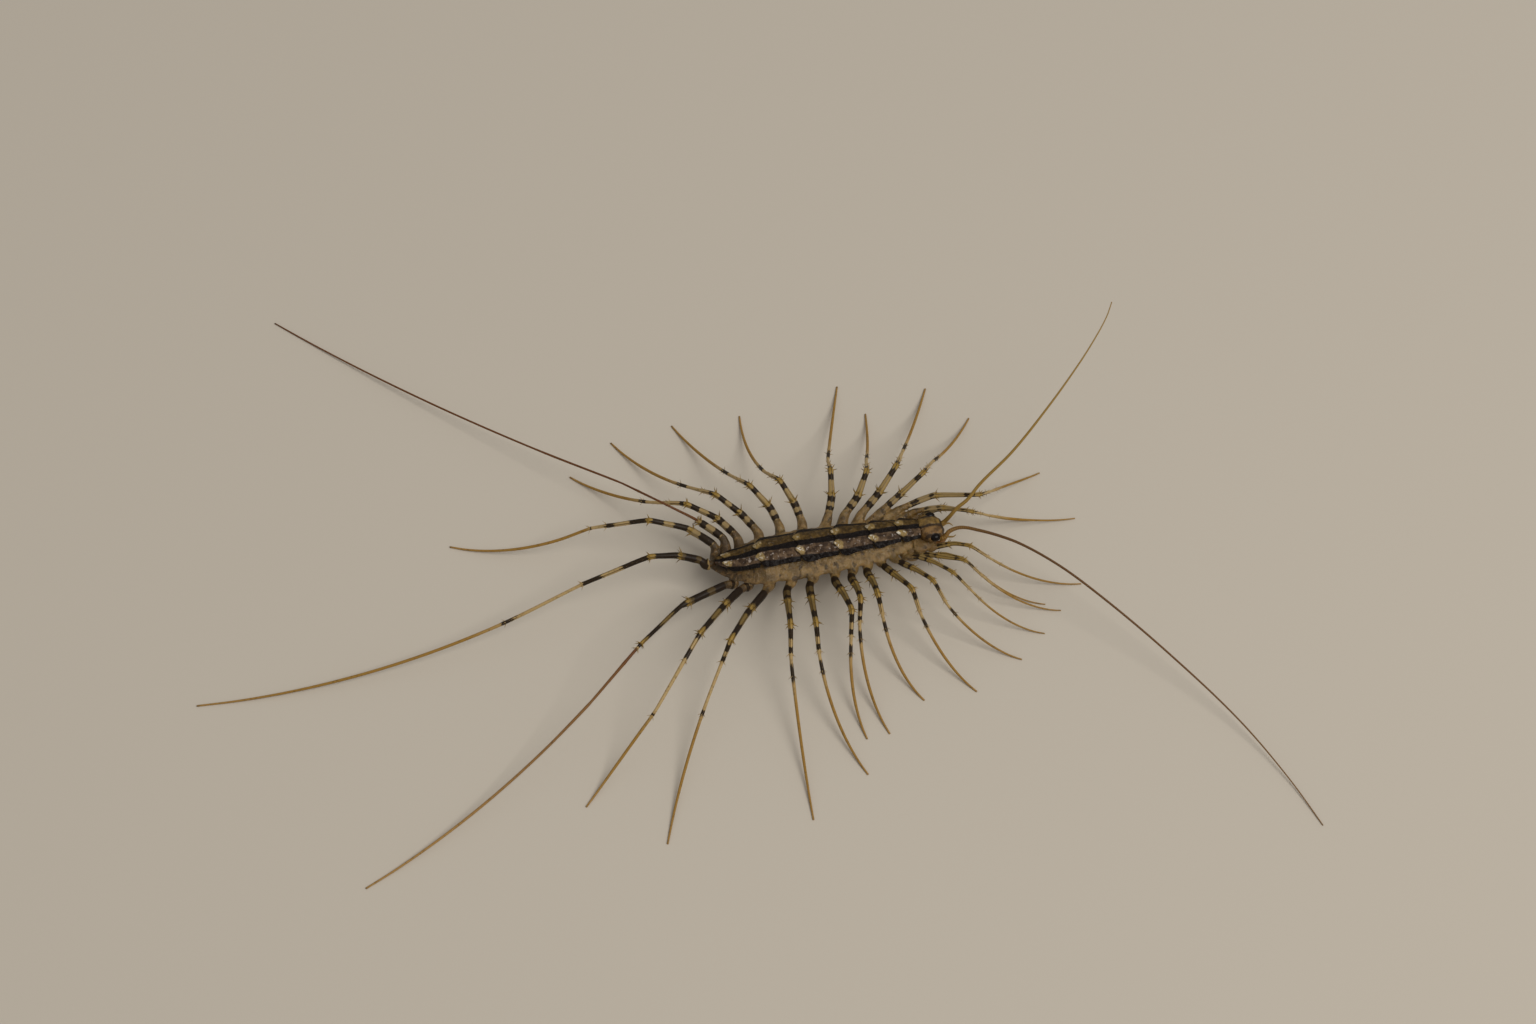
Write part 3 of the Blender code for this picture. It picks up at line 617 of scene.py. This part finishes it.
leg_shell, tree, shader = new_material("leg_shell", 0.42, 0.04)
shader.inputs["Specular IOR Level"].default_value = 0.12
shader.inputs["Subsurface Weight"].default_value = 0.12
shader.inputs["Subsurface Radius"].default_value = (0.0004, 0.0002, 0.0001)
pattern = tree.nodes.new("ShaderNodeUVMap")
pattern.uv_map = "Pattern"
split = tree.nodes.new("ShaderNodeSeparateXYZ")
tree.links.new(pattern.outputs["UV"], split.inputs["Vector"])
down, around = split.outputs["X"], split.outputs["Y"]
ramp = tree.nodes.new("ShaderNodeValToRGB")
SKIN = (0.29, 0.195, 0.078)
FIRST_LENGTH = (0.29, 0.195, 0.07)
OLIVE = (0.36, 0.24, 0.075)
KNEE = (0.34, 0.215, 0.05)
SHIN = (0.44, 0.31, 0.14)
WHIP = (0.32, 0.18, 0.04)
TIP = (0.36, 0.21, 0.065)
RED_WHIP = (0.15, 0.06, 0.02)
shades = (
    (0.0, SKIN),
    (1.0, SKIN),
    (1.15, FIRST_LENGTH),
    (1.92, FIRST_LENGTH),
    (2.02, KNEE),
    (2.14, OLIVE),
    (2.72, OLIVE),
    (2.9, KNEE),
    (3.06, KNEE),
    (3.25, SHIN),
    (4.15, SHIN),
    (4.3, WHIP),
    (4.75, WHIP),
    (5.0, TIP),
    (5.06, RED_WHIP),
    (5.35, RED_WHIP),
    (5.75, TIP),
)
stops = ramp.color_ramp.elements
for number, (at, colour) in enumerate(shades):
    stop = stops[number] if number < 2 else stops.new(at / PATTERN_MARKS)
    stop.position = at / PATTERN_MARKS
    stop.color = (*colour, 1.0)
tree.links.new(down, ramp.inputs["Fac"])
band = tree.nodes.new("ShaderNodeAttribute")
band.attribute_name = "dark"
uneven = combine(tree, "MULTIPLY", combine(tree, "SUBTRACT", noise(tree, 3.0, 3.0), 0.5), 1.1)
ridge_wave = combine(tree, "COSINE", combine(tree, "MULTIPLY", around, 2 * math.pi * RIDGES))
uneven = combine(tree, "ADD", uneven, combine(tree, "MULTIPLY", ridge_wave, 0.22))
band_dark = rise(tree, combine(tree, "ADD", band.outputs["Fac"], uneven), 0.25, 0.7)
below_root = rise(tree, down, 1.0 / PATTERN_MARKS, 1.2 / PATTERN_MARKS)
above_whip = rise(tree, down, 4.0 / PATTERN_MARKS, 3.85 / PATTERN_MARKS)
hard = combine(tree, "MULTIPLY", below_root, above_whip)
ridge_line = combine(tree, "MULTIPLY", rise(tree, ridge_wave, 0.3, 0.9), hard)
ridge_line = combine(tree, "MULTIPLY", ridge_line, 0.85)
fleck = combine(tree, "MULTIPLY", rise(tree, noise(tree, 3.0, 4.0), 0.5, 0.7), 0.35)
darker = combine(tree, "MAXIMUM", ridge_line, fleck)
marks_and_painted_light = mix_colour(tree, darker, ramp.outputs["Color"], (0.08, 0.048, 0.014))
# The right legs' upper lengths are darkened with painted shade and the left legs' are paled with painted light,
# partly their own tone.
depth = tree.nodes.new("ShaderNodeAttribute")
depth.attribute_name = "painted_shade"
marks_and_painted_light = mix_colour(tree, depth.outputs["Fac"], marks_and_painted_light, (0.06, 0.038, 0.014))
painted_light_node = tree.nodes.new("ShaderNodeAttribute")
painted_light_node.attribute_name = "pale"
marks_and_painted_light = mix_colour(tree, painted_light_node.outputs["Fac"], marks_and_painted_light, (0.34, 0.25, 0.13))
black = combine(tree, "MULTIPLY", band_dark, 0.97)
tree.links.new(mix_colour(tree, black, marks_and_painted_light, (0.017, 0.01, 0.006)), shader.inputs["Base Color"])
add_bump(tree, shader, noise(tree, 7.0, 3.0), 0.4, 0.05)


def grow_spine(mesh, root, tip, radius, mark, sides=4):
    """A thin cone in the mesh, from its root under the skin to its tip, in the colour of its mark."""
    along = (tip - root) * MM
    turn = Vector((0.0, 0.0, 1.0)).rotation_difference(along).to_matrix().to_4x4()
    stood = Matrix.Translation(place(*((root + tip) / 2))) @ turn
    made = bmesh.ops.create_cone(
        mesh,
        cap_ends=True,
        segments=sides,
        radius1=radius * MM,
        radius2=0.004 * MM,
        depth=along.length,
        matrix=stood,
    )
    uv = mesh.loops.layers.uv["Pattern"]
    for face in {f for v in made["verts"] for f in v.link_faces}:
        for loop in face.loops:
            loop[uv].uv = (mark / PATTERN_MARKS, 0.5)
    return made["verts"]


def make_leg(word, number, line, marks, run, radii, size):
    start = int(np.searchsorted(marks, HIND_RIGHT_START if (word, number) == ("right", 15) else LEG_START))
    line, marks, run, radii = line[start:], marks[start:], run[start:], radii[start:]
    turns = frames_along(line)
    bands = DARK_BANDS
    if number > (4 if word == "right" else 5):
        bands += (KNOT_BAND,)
    if number > 11:
        bands += (HIND_EXTRA_BAND,)
    if word == "right" and number in (12, 13):
        bands = DARK_FIRST_BANDS + (KNOT_BAND,)
    if word == "right" and number > 7:
        bands += (SHIN_END_BAND,)
    # Right legs get painted shade here, deeper towards the tail; left legs get almost none.
    depth = float(np.interp(number, (4, 7, 11, 14), (0.1, 0.75, 0.8, 0.9))) if word == "right" else 0.05
    strength = float(np.interp(number, (2, 7), (0.55, 1.0) if word == "right" else (0.2, 1.0)))
    if number == 15:
        bands = LAST_LEFT_BANDS if word == "left" else LAST_RIGHT_BANDS
    if (word, number - 1) == RED_LEG:
        bands = RED_LEG_BANDS

    def ridge(i, turn):
        hard = min(1.0, max(0.0, (marks[i] - 1.1) / 0.15)) * min(1.0, max(0.0, (4.0 - marks[i]) / 0.1))
        return 1.0 + RIDGE_HEIGHT * hard * math.cos(RIDGES * turn)

    mesh = whip(line, radii, TUBE_SIDES, marks, ridge)
    uv = mesh.loops.layers.uv["Pattern"]
    dark = mesh.verts.layers.float.new("dark")
    painted_shade = mesh.verts.layers.float.new("painted_shade")
    pale = mesh.verts.layers.float.new("pale")
    # Left legs are paled with painted light.
    painted_light_amount = 0.5 if word == "left" else 0.0
    for v in mesh.verts:
        mark = v.link_loops[0][uv].uv.x * PATTERN_MARKS
        v[painted_shade] = depth * float(np.interp(mark, LENGTH_AT, PAINTED_SHADE_SHARE))
        v[pale] = painted_light_amount * float(np.interp(mark, LENGTH_AT, PAINTED_LIGHT_SHARE))
        for low, high in bands:
            edge = min(BAND_EDGE, (high - low) / 2)
            v[dark] = max(v[dark], strength * min(1.0, (mark - low) / edge + 0.5, (high - mark) / edge + 0.5))

    def bristle(i, turn, length, radius, lean, shade, sides):
        out = turns[i][1] * math.cos(turn) + turns[i][2] * math.sin(turn)
        root = line[i] + out * radii[i] * 0.6
        tip = root + (out * math.cos(lean) + turns[i][0] * math.sin(lean)) * (length + radii[i] * 0.4)
        if tip.z > 0.02:
            for v in grow_spine(mesh, root, tip, radius, min(marks[i], 4.0), sides):
                at_tip = (v.co - place(*tip)).length < (v.co - place(*root)).length
                v[dark] = shade if at_tip else shade * 0.4

    for mark, count, length, radius, lean in SPINE_RINGS:
        i = int(np.searchsorted(marks, mark))
        first = dice.uniform(0.0, math.pi)
        for k in range(count):
            turn = first + 2 * math.pi * k / count + dice.uniform(-0.2, 0.2)
            reach = length * dice.uniform(0.8, 1.15) * size
            bristle(i, turn, reach, radius * size, math.radians(lean), 0.8, 5)
    next_at = 0.0
    for i, mark in enumerate(marks[:-1]):
        if mark < 1.15 or run[i] < next_at:
            continue
        next_at = run[i] + BRISTLE_STEP * dice.uniform(0.8, 1.2)
        for k in range(RIDGES if mark < 4.0 else 2):
            turn = 2 * math.pi * k / RIDGES if mark < 4.0 else math.pi * (1.2 + 0.6 * k)
            reach = BRISTLE_LENGTH * dice.uniform(0.6, 1.1) * size * (1.0 if mark < 4.0 else 0.8)
            bristle(i, turn + dice.uniform(-0.15, 0.15), reach, 0.02, 0.9, 0.6, 3)
    return mesh


for word, number, line, marks, run, radii, size in legs:
    name = f"leg_{word}_{number:02d}"
    leg = make_leg(word, number, line, marks, run, radii, size)
    add_piece(f"{name}_shell", leg, leg_shell, "leg_ochre", name)


# The back plates are thin horny shields, arched over the body and lapping towards the tail.
# Three near-black stripes run down them, with an olive band on the left and a grey-brown one on the right,
# whose paler grey is painted light and painted sheen.
# Two pale warts stand at the hind edge of each, one on either side of the middle stripe; the right ones are
# painted paler with painted light, and all carry painted glints.
PLATE_ENDS = (13.6, 11.4, 8.1, 4.1, -0.3, -4.9, -8.5)
PLATE_HALF_WIDTHS = (1.4, 1.65, 1.9, 2.1, 2.15, 1.9, 1.35)
TAIL_X = -9.6
TAIL_HALF_WIDTH = 0.75
PLATE_ARCH = 0.55
PLATE_LAP = 0.25
SHELL_THICK = 0.08
BAND_RISE = 0.13
LOBE = 0.07
WART_OUT = 0.43
WART_IN = 0.12
WART_LONG = 0.6
WART_WIDE = 0.27
WART_RISE = 0.22
WART_TONGUE = 0.42


def plate_surface(front, rear, half_front, half_rear, wart, corner):
    """The upper face of a plate, u from its hind edge to its front and v from its right side to its left."""
    length = front - rear

    def surface(u, v):
        across = 2 * v - 1
        half = half_rear + (half_front - half_rear) * u
        half *= 1.0 + LOBE * math.exp(-(((u - 0.22) / 0.2) ** 2)) - 0.1 * max(0.0, 0.1 - u) / 0.1
        x = rear + (length + PLATE_LAP) * u
        x += (corner - (corner + 0.22) * u) * min(1.0, length) * across**4
        tongue = math.exp(-(((abs(across) - WART_OUT) / 0.2) ** 2))
        x -= WART_TONGUE * wart * tongue * (1 - u) ** 8
        z = back_height(x) - PLATE_ARCH * half / PLATE_HALF_WIDTHS[4] * across * across
        z += 0.04 * (1 - u) ** 2 - 0.07 * max(0.0, u - 0.86) / 0.14
        z += BAND_RISE * math.exp(-(((abs(across) - 0.46) / 0.26) ** 2))
        from_wart = ((abs(across) - WART_OUT) / WART_WIDE) ** 2 + ((u * length - WART_IN) / WART_LONG) ** 2
        z += WART_RISE * wart * math.exp(-(from_wart**1.5))
        return place(x, body_y(x) + half * across, z)

    return surface


plate_shell, tree, shader = new_material("plate_shell", 0.55, 0.12)
shader.inputs["Specular IOR Level"].default_value = 0.1
shader.inputs["Coat Roughness"].default_value = 0.1
pattern = tree.nodes.new("ShaderNodeUVMap")
pattern.uv_map = "Pattern"
split = tree.nodes.new("ShaderNodeSeparateXYZ")
tree.links.new(pattern.outputs["UV"], split.inputs["Vector"])
along, side_to_side = split.outputs["X"], split.outputs["Y"]
wander = combine(tree, "MULTIPLY", combine(tree, "SUBTRACT", noise(tree, 0.9, 5.0), 0.5), 0.1)
across = combine(tree, "SUBTRACT", combine(tree, "ADD", side_to_side, wander), 0.02)
length_run = tree.nodes.new("ShaderNodeAttribute")
length_run.attribute_name = "from_hind_edge"
behind = length_run.outputs["Fac"]
olive_mottle = rise(tree, noise(tree, 2.0, 5.0), 0.36, 0.62)
olive = mix_colour(tree, olive_mottle, (0.115, 0.068, 0.018), (0.055, 0.032, 0.009))
# The right band is painted paler and greyer than the left one: painted light and painted sheen.
purple_mottle = rise(tree, noise(tree, 1.8, 5.0), 0.36, 0.62)
painted_lit_band = mix_colour(tree, purple_mottle, (0.15, 0.096, 0.056), (0.055, 0.033, 0.02))
left_half = rise(tree, across, 0.47, 0.53)
ground = mix_colour(tree, left_half, painted_lit_band, olive)
from_middle = combine(tree, "ABSOLUTE", combine(tree, "SUBTRACT", across, 0.5))
out = combine(tree, "ABSOLUTE", combine(tree, "SUBTRACT", side_to_side, 0.5))
out = combine(tree, "DIVIDE", combine(tree, "SUBTRACT", out, WART_OUT / 2), WART_WIDE / 2)
back = combine(tree, "DIVIDE", combine(tree, "SUBTRACT", behind, WART_IN), WART_LONG)
from_wart = combine(tree, "ADD", combine(tree, "MULTIPLY", out, out), combine(tree, "MULTIPLY", back, back))
blotch = combine(tree, "MULTIPLY", noise(tree, 1.8, 4.0), 1.6)
wart = rise(tree, combine(tree, "ADD", from_wart, blotch), 2.0, 1.3)
wart_heart = rise(tree, combine(tree, "ADD", from_wart, blotch), 1.5, 1.0)
hind = rise(tree, along, 0.6, 0.1)
front = rise(tree, along, 0.35, 0.9)
middle_reach = combine(tree, "ADD", 0.078, combine(tree, "MULTIPLY", front, 0.03))
middle = combine(tree, "SUBTRACT", from_middle, middle_reach)
edge_reach = combine(tree, "SUBTRACT", 0.395, combine(tree, "MULTIPLY", hind, 0.04))
edge = combine(tree, "SUBTRACT", edge_reach, from_middle)
stripe = rise(tree, combine(tree, "MINIMUM", middle, edge), 0.016, -0.012)
colour = mix_colour(tree, stripe, ground, (0.008, 0.005, 0.004))
# The right warts are painted paler than the left ones: painted light.
wart_colour = mix_colour(tree, left_half, (0.36, 0.25, 0.1), (0.26, 0.175, 0.06))
# Painted highlight: near-white glint specks in each wart's heart, fainter on the left warts.
painted_glint = combine(tree, "MULTIPLY", wart_heart, rise(tree, noise(tree, 3.2, 2.0), 0.52, 0.58))
painted_glint_strength = combine(tree, "SUBTRACT", 0.95, combine(tree, "MULTIPLY", left_half, 0.6))
painted_glint = combine(tree, "MULTIPLY", painted_glint, painted_glint_strength)
wart_colour = mix_colour(tree, painted_glint, wart_colour, (0.85, 0.8, 0.68))
colour = mix_colour(tree, combine(tree, "MULTIPLY", wart, 0.9), colour, wart_colour)
# Pale granules painted near white as glints, strongest on the right half: partly the plates' own granules,
# partly painted highlight.
off_stripe = combine(tree, "SUBTRACT", 1.0, stripe)
granule_glint = combine(tree, "MULTIPLY", rise(tree, noise(tree, 2.6, 2.0), 0.6, 0.68), off_stripe)
granule_glint_strength = combine(tree, "SUBTRACT", 0.5, combine(tree, "MULTIPLY", left_half, 0.4))
granule_glint = combine(tree, "MULTIPLY", granule_glint, granule_glint_strength)
colour = mix_colour(tree, granule_glint, colour, (0.62, 0.55, 0.5))
tree.links.new(colour, shader.inputs["Base Color"])
fine_pits = combine(tree, "MULTIPLY", noise(tree, 6.0, 3.0), 0.6)
pits = combine(tree, "ADD", rise(tree, noise(tree, 2.8, 3.0), 0.45, 0.7), fine_pits)
add_bump(tree, shader, pits, 0.9, 0.16)

plate_front = PLATE_ENDS[0]
front_half = PLATE_HALF_WIDTHS[0]
shields = list(zip(PLATE_ENDS[1:], PLATE_HALF_WIDTHS[1:])) + [(TAIL_X, TAIL_HALF_WIDTH)]
for number, (rear, half) in enumerate(shields, 1):
    is_tail = number == len(shields)
    name = "tail_plate" if is_tail else f"back_plate_{number}"
    wart, corner = (0.0, 0.7) if is_tail else (1.0, 0.28)
    shield = sheet(48, 64, plate_surface(plate_front, rear, front_half, half, wart, corner), closed=False)
    from_hind_edge = shield.verts.layers.float.new("from_hind_edge")
    uv = shield.loops.layers.uv["Pattern"]
    for v in shield.verts:
        v[from_hind_edge] = v.link_loops[0][uv].uv.x * (plate_front - rear) + (0.0 if wart else 9.0)
    piece = add_piece(f"{name}_shell", shield, plate_shell, "plate_brown", name)
    shell = piece.modifiers.new("thickness", "SOLIDIFY")
    shell.thickness = SHELL_THICK * MM
    shell.offset = -1.0
    plate_front = rear - GAP * 0.4
    front_half = half * 0.93


# The head is a low rounded shield, amber brown, with a dark seam along its middle and a rim behind.
# Its cuticle is one hard shell with one even gloss.
HEAD_CENTRE = Vector((15.15, 0.22, 5.05))
HEAD_HALF = (1.5, 1.76, 0.82)
HEAD_TOP_SEAM = 0.06
EYE_RADIUS = 0.54
EYE_SHAPE = (1.1, 0.9, 0.85)
EYE_LEFT = (15.45, 1.55, 5.42)
EYE_RIGHT = (15.4, -1.3, 5.3)


def head_shape(p):
    front = max(0.0, p.x)
    behind = max(0.0, -p.x)
    x = HEAD_CENTRE.x + math.copysign(abs(p.x) ** 0.86, p.x) * HEAD_HALF[0] * (1.0 - 0.1 * abs(p.y) ** 3)
    side = math.copysign(abs(p.y) ** 0.9, p.y) * HEAD_HALF[1] * (1.0 - 0.1 * front**2 - 0.16 * behind**3)
    z = HEAD_CENTRE.z + math.copysign(abs(p.z) ** 0.72, p.z) * HEAD_HALF[2]
    if p.z > 0:
        z -= HEAD_TOP_SEAM * math.exp(-((side / 0.1) ** 2)) * p.z
        z += 0.09 * math.exp(-(((abs(side) - 0.7) / 0.35) ** 2)) * p.z
        z -= 0.08 * math.exp(-(((p.x - 0.55) / 0.1) ** 2)) * p.z
        z += 0.06 * math.exp(-(((p.x + 0.7) / 0.1) ** 2)) * p.z
        z -= 0.16 * front**3
        z += 0.1 * math.exp(-(((abs(side) - 1.25) / 0.25) ** 2)) * p.z
    socket = math.exp(-(((p.x - 0.85) / 0.2) ** 2) - ((abs(side) - 0.7) / 0.28) ** 2)
    x += 0.12 * socket - 0.07 * side
    y = HEAD_CENTRE.y + side
    for eye in (EYE_LEFT, EYE_RIGHT):
        away = ((x - eye[0]) / 0.55) ** 2
        lid = math.exp(-away - ((y - eye[1]) / 0.4) ** 2 - ((z - eye[2] + 0.3) / 0.3) ** 2)
        y += math.copysign(0.14 * lid, side)
    return x, y, z


head_shell, tree, shader = new_material("head_shell", 0.4, 0.15)
shader.inputs["Subsurface Weight"].default_value = 0.1
shader.inputs["Subsurface Radius"].default_value = (0.0004, 0.0002, 0.0001)
coordinates = tree.nodes.new("ShaderNodeTexCoord")
centred = tree.nodes.new("ShaderNodeMapping")
centred.inputs["Location"].default_value = tuple(-c / MM for c in place(*HEAD_CENTRE))
centred.inputs["Scale"].default_value = (1 / MM,) * 3
tree.links.new(coordinates.outputs["Object"], centred.inputs["Vector"])
split = tree.nodes.new("ShaderNodeSeparateXYZ")
tree.links.new(centred.outputs["Vector"], split.inputs["Vector"])
mottle = rise(tree, noise(tree, 1.6, 5.0), 0.38, 0.64)
amber = mix_colour(tree, mottle, (0.24, 0.135, 0.045), (0.1, 0.053, 0.018))
olive = mix_colour(tree, mottle, (0.24, 0.145, 0.036), (0.12, 0.07, 0.018))
uneven = combine(tree, "MULTIPLY", combine(tree, "SUBTRACT", noise(tree, 1.4), 0.5), 0.3)
sideways = combine(tree, "ADD", combine(tree, "ADD", split.outputs["Y"], 0.15), uneven)
ground = mix_colour(tree, rise(tree, sideways, -0.1, 0.3), amber, olive)
seam = rise(tree, combine(tree, "ABSOLUTE", sideways), 0.26, 0.14)
from_line = combine(tree, "SUBTRACT", combine(tree, "ABSOLUTE", sideways), 1.26)
side_line = rise(tree, combine(tree, "ABSOLUTE", from_line), 0.2, 0.09)
mid_length = rise(tree, combine(tree, "ABSOLUTE", split.outputs["X"]), 1.1, 0.8)
side_line = combine(tree, "MULTIPLY", side_line, mid_length)
brow = rise(tree, combine(tree, "ADD", split.outputs["X"], uneven), 1.08, 1.22)
dark = combine(tree, "MAXIMUM", combine(tree, "MAXIMUM", seam, side_line), brow)
above = rise(tree, split.outputs["Z"], -0.15, 0.15)
dark = combine(tree, "MULTIPLY", combine(tree, "MULTIPLY", dark, above), 0.88)
tree.links.new(mix_colour(tree, dark, ground, (0.02, 0.012, 0.007)), shader.inputs["Base Color"])
grain = combine(tree, "ADD", noise(tree, 5.0, 3.0), rise(tree, noise(tree, 2.6), 0.5, 0.7))
add_bump(tree, shader, grain, 0.7, 0.12)
add_piece("head_shell", ball(64, 40, head_shape), head_shell, "head_amber", "head")

# Each eye is a dark domed patch of some hundred facets, close behind the feeler on the head's side.
eye_facets, tree, shader = new_material("eye_facets", 0.16, 0.3)
shader.inputs["Specular IOR Level"].default_value = 0.05
shader.inputs["Coat Roughness"].default_value = 0.03
cells = tree.nodes.new("ShaderNodeTexVoronoi")
cells.inputs["Scale"].default_value = 11.0 / MM
place_node = tree.nodes.new("ShaderNodeTexCoord")
tree.links.new(place_node.outputs["Object"], cells.inputs["Vector"])
facet_edge = rise(tree, cells.outputs["Distance"], 0.1, 0.6)
facet_colour = mix_colour(tree, facet_edge, (0.012, 0.007, 0.005), (0.003, 0.002, 0.002))
tree.links.new(facet_colour, shader.inputs["Base Color"])
add_bump(tree, shader, combine(tree, "SUBTRACT", 1.0, cells.outputs["Distance"]), 0.5, 0.03)
for eye, word in ((EYE_LEFT, "left"), (EYE_RIGHT, "right")):

    def eye_shape(p):
        return tuple(eye[i] + p[i] * EYE_RADIUS * EYE_SHAPE[i] for i in range(3))

    add_piece(f"eye_{word}_dome", ball(28, 18, eye_shape), eye_facets, "eye_black", f"eye_{word}")


# The feelers are long ringed whips of several hundred short joints, golden at the base.
# The left one is lifted in the air, and the right one arches forward until its tip touches the floor.
RIGHT_FEELER = (
    (15.95, -1.25, 4.85),
    (16.5, -1.4, 5.0),
    (16.93, -1.1, 5.5),
    (18.3, -1.11, 6.0),
    (20.3, -2.28, 6.4),
    (22.27, -3.65, 6.6),
    (24.18, -5.22, 6.7),
    (27.83, -8.99, 6.4),
    (31.53, -13.45, 5.4),
    (36.95, -20.62, 3.4),
    (43.03, -30.45, 1.4),
    (46.46, -38.46, 0.4),
    (48.3, -44.5, 0.08),
)
LEFT_FEELER = (
    (16.3, 0.45, 4.9),
    (16.95, 0.6, 5.2),
    (17.55, 0.54, 6.2),
    (18.41, 0.83, 7.1),
    (19.62, 1.11, 7.9),
    (21.22, 2.07, 9.0),
    (25.52, 4.16, 11.2),
    (30.49, 7.51, 13.8),
    (34.24, 10.48, 15.6),
    (36.8, 12.81, 16.7),
    (39.4, 15.67, 17.7),
    (40.35, 17.15, 18.15),
)
FEELER_RINGS = 220.0
FEELER_SIDES = 12
FEELER_AT = (0.0, 0.02, 0.06, 0.2, 0.6, 1.0)
RIGHT_FEELER_RADII = (0.28, 0.26, 0.19, 0.145, 0.11, 0.06)
LEFT_FEELER_RADII = (0.28, 0.27, 0.22, 0.18, 0.12, 0.06)
feeler_whip, tree, shader = new_material("feeler_whip", 0.42, 0.08)
shader.inputs["Subsurface Weight"].default_value = 0.15
shader.inputs["Subsurface Radius"].default_value = (0.0004, 0.0002, 0.0001)
pattern = tree.nodes.new("ShaderNodeUVMap")
pattern.uv_map = "Pattern"
split = tree.nodes.new("ShaderNodeSeparateXYZ")
tree.links.new(pattern.outputs["UV"], split.inputs["Vector"])
u = split.outputs["X"]
ramp = tree.nodes.new("ShaderNodeValToRGB")
stops = (
    (0.0, (0.26, 0.145, 0.025)),
    (0.02, (0.32, 0.19, 0.028)),
    (0.08, (0.34, 0.205, 0.04)),
    (0.167, (0.38, 0.245, 0.08)),
    (0.5, (0.26, 0.14, 0.03)),
    (0.506, (0.22, 0.115, 0.025)),
    (0.52, (0.13, 0.06, 0.015)),
    (0.6, (0.17, 0.08, 0.025)),
    (0.667, (0.26, 0.15, 0.06)),
)
for number, (at, colour) in enumerate(stops):
    stop = ramp.color_ramp.elements[number] if number < 2 else ramp.color_ramp.elements.new(at)
    stop.position = at
    stop.color = (*colour, 1.0)
tree.links.new(u, ramp.inputs["Fac"])
rings = combine(tree, "SINE", combine(tree, "MULTIPLY", u, 2 * math.pi * PATTERN_MARKS * FEELER_RINGS))
ring_line = combine(tree, "MULTIPLY", rise(tree, rings, 0.2, 0.9), 0.45)
ringed = mix_colour(tree, ring_line, ramp.outputs["Color"], (0.09, 0.045, 0.015))
tree.links.new(ringed, shader.inputs["Base Color"])
add_bump(tree, shader, rings, 0.5, 0.03)
for points, word, first_mark, thickness in (
    (RIGHT_FEELER, "right", 3.0, RIGHT_FEELER_RADII),
    (LEFT_FEELER, "left", 0.0, LEFT_FEELER_RADII),
):
    points = [Vector(p) for p in points]
    line, marks, run = smooth_line(points, list(np.linspace(0.0, 1.0, len(points))), 0.35)
    marks = [r / run[-1] for r in run]
    radii = [float(np.interp(m, FEELER_AT, thickness)) for m in marks]
    marks = [m + first_mark for m in marks]
    feeler = whip(line, radii, FEELER_SIDES, marks)
    add_piece(f"feeler_{word}_whip", feeler, feeler_whip, "feeler_gold", f"feeler_{word}")

# The mouth is framed by two soft bent palps above and two strong poison claws below.
# The claws are hard amber horn, dark at the point, and meet under the head.
PALP = ((16.0, 0.4, 4.3), (16.45, 0.5, 4.2), (17.0, 0.85, 4.25), (17.6, 0.95, 4.2), (18.0, 0.65, 4.0))
PALP_RADII = (0.15, 0.14, 0.12, 0.09, 0.04)
FANG = ((14.1, 1.15, 3.8), (14.9, 1.1, 3.55), (15.6, 0.95, 3.35))
FANG += ((16.3, 0.75, 3.25), (16.85, 0.4, 3.15), (17.05, 0.12, 3.1))
FANG_RADII = (0.42, 0.42, 0.36, 0.27, 0.15, 0.05)
HORN_SIDES = 14
fang_horn, tree, shader = new_material("fang_horn", 0.2, 0.5)
pattern = tree.nodes.new("ShaderNodeUVMap")
pattern.uv_map = "Pattern"
split = tree.nodes.new("ShaderNodeSeparateXYZ")
tree.links.new(pattern.outputs["UV"], split.inputs["Vector"])
u = split.outputs["X"]
tip_dark = rise(tree, u, 0.11, 0.16)
amber = mix_colour(tree, rise(tree, noise(tree, 2.5), 0.4, 0.7), (0.24, 0.105, 0.025), (0.13, 0.055, 0.014))
tree.links.new(mix_colour(tree, tip_dark, amber, (0.03, 0.014, 0.008)), shader.inputs["Base Color"])
add_bump(tree, shader, noise(tree, 5.0), 0.3, 0.04)
for side, word in ((1, "left"), (-1, "right")):
    for kind, points, radii_at, material, slot in (
        ("palp", PALP, PALP_RADII, feeler_whip, "feeler_gold"),
        ("fang", FANG, FANG_RADII, fang_horn, "fang_amber"),
    ):
        bent = [Vector((x, side * y, z)) for x, y, z in points]
        line, marks, run = smooth_line(bent, list(np.linspace(0.0, 1.0, len(bent))), 0.08)
        radii = [float(np.interp(m, np.linspace(0.0, 1.0, len(radii_at)), radii_at)) for m in marks]
        add_piece(f"{kind}_{word}_horn", whip(line, radii, HORN_SIDES, marks), material, slot, f"{kind}_{word}")
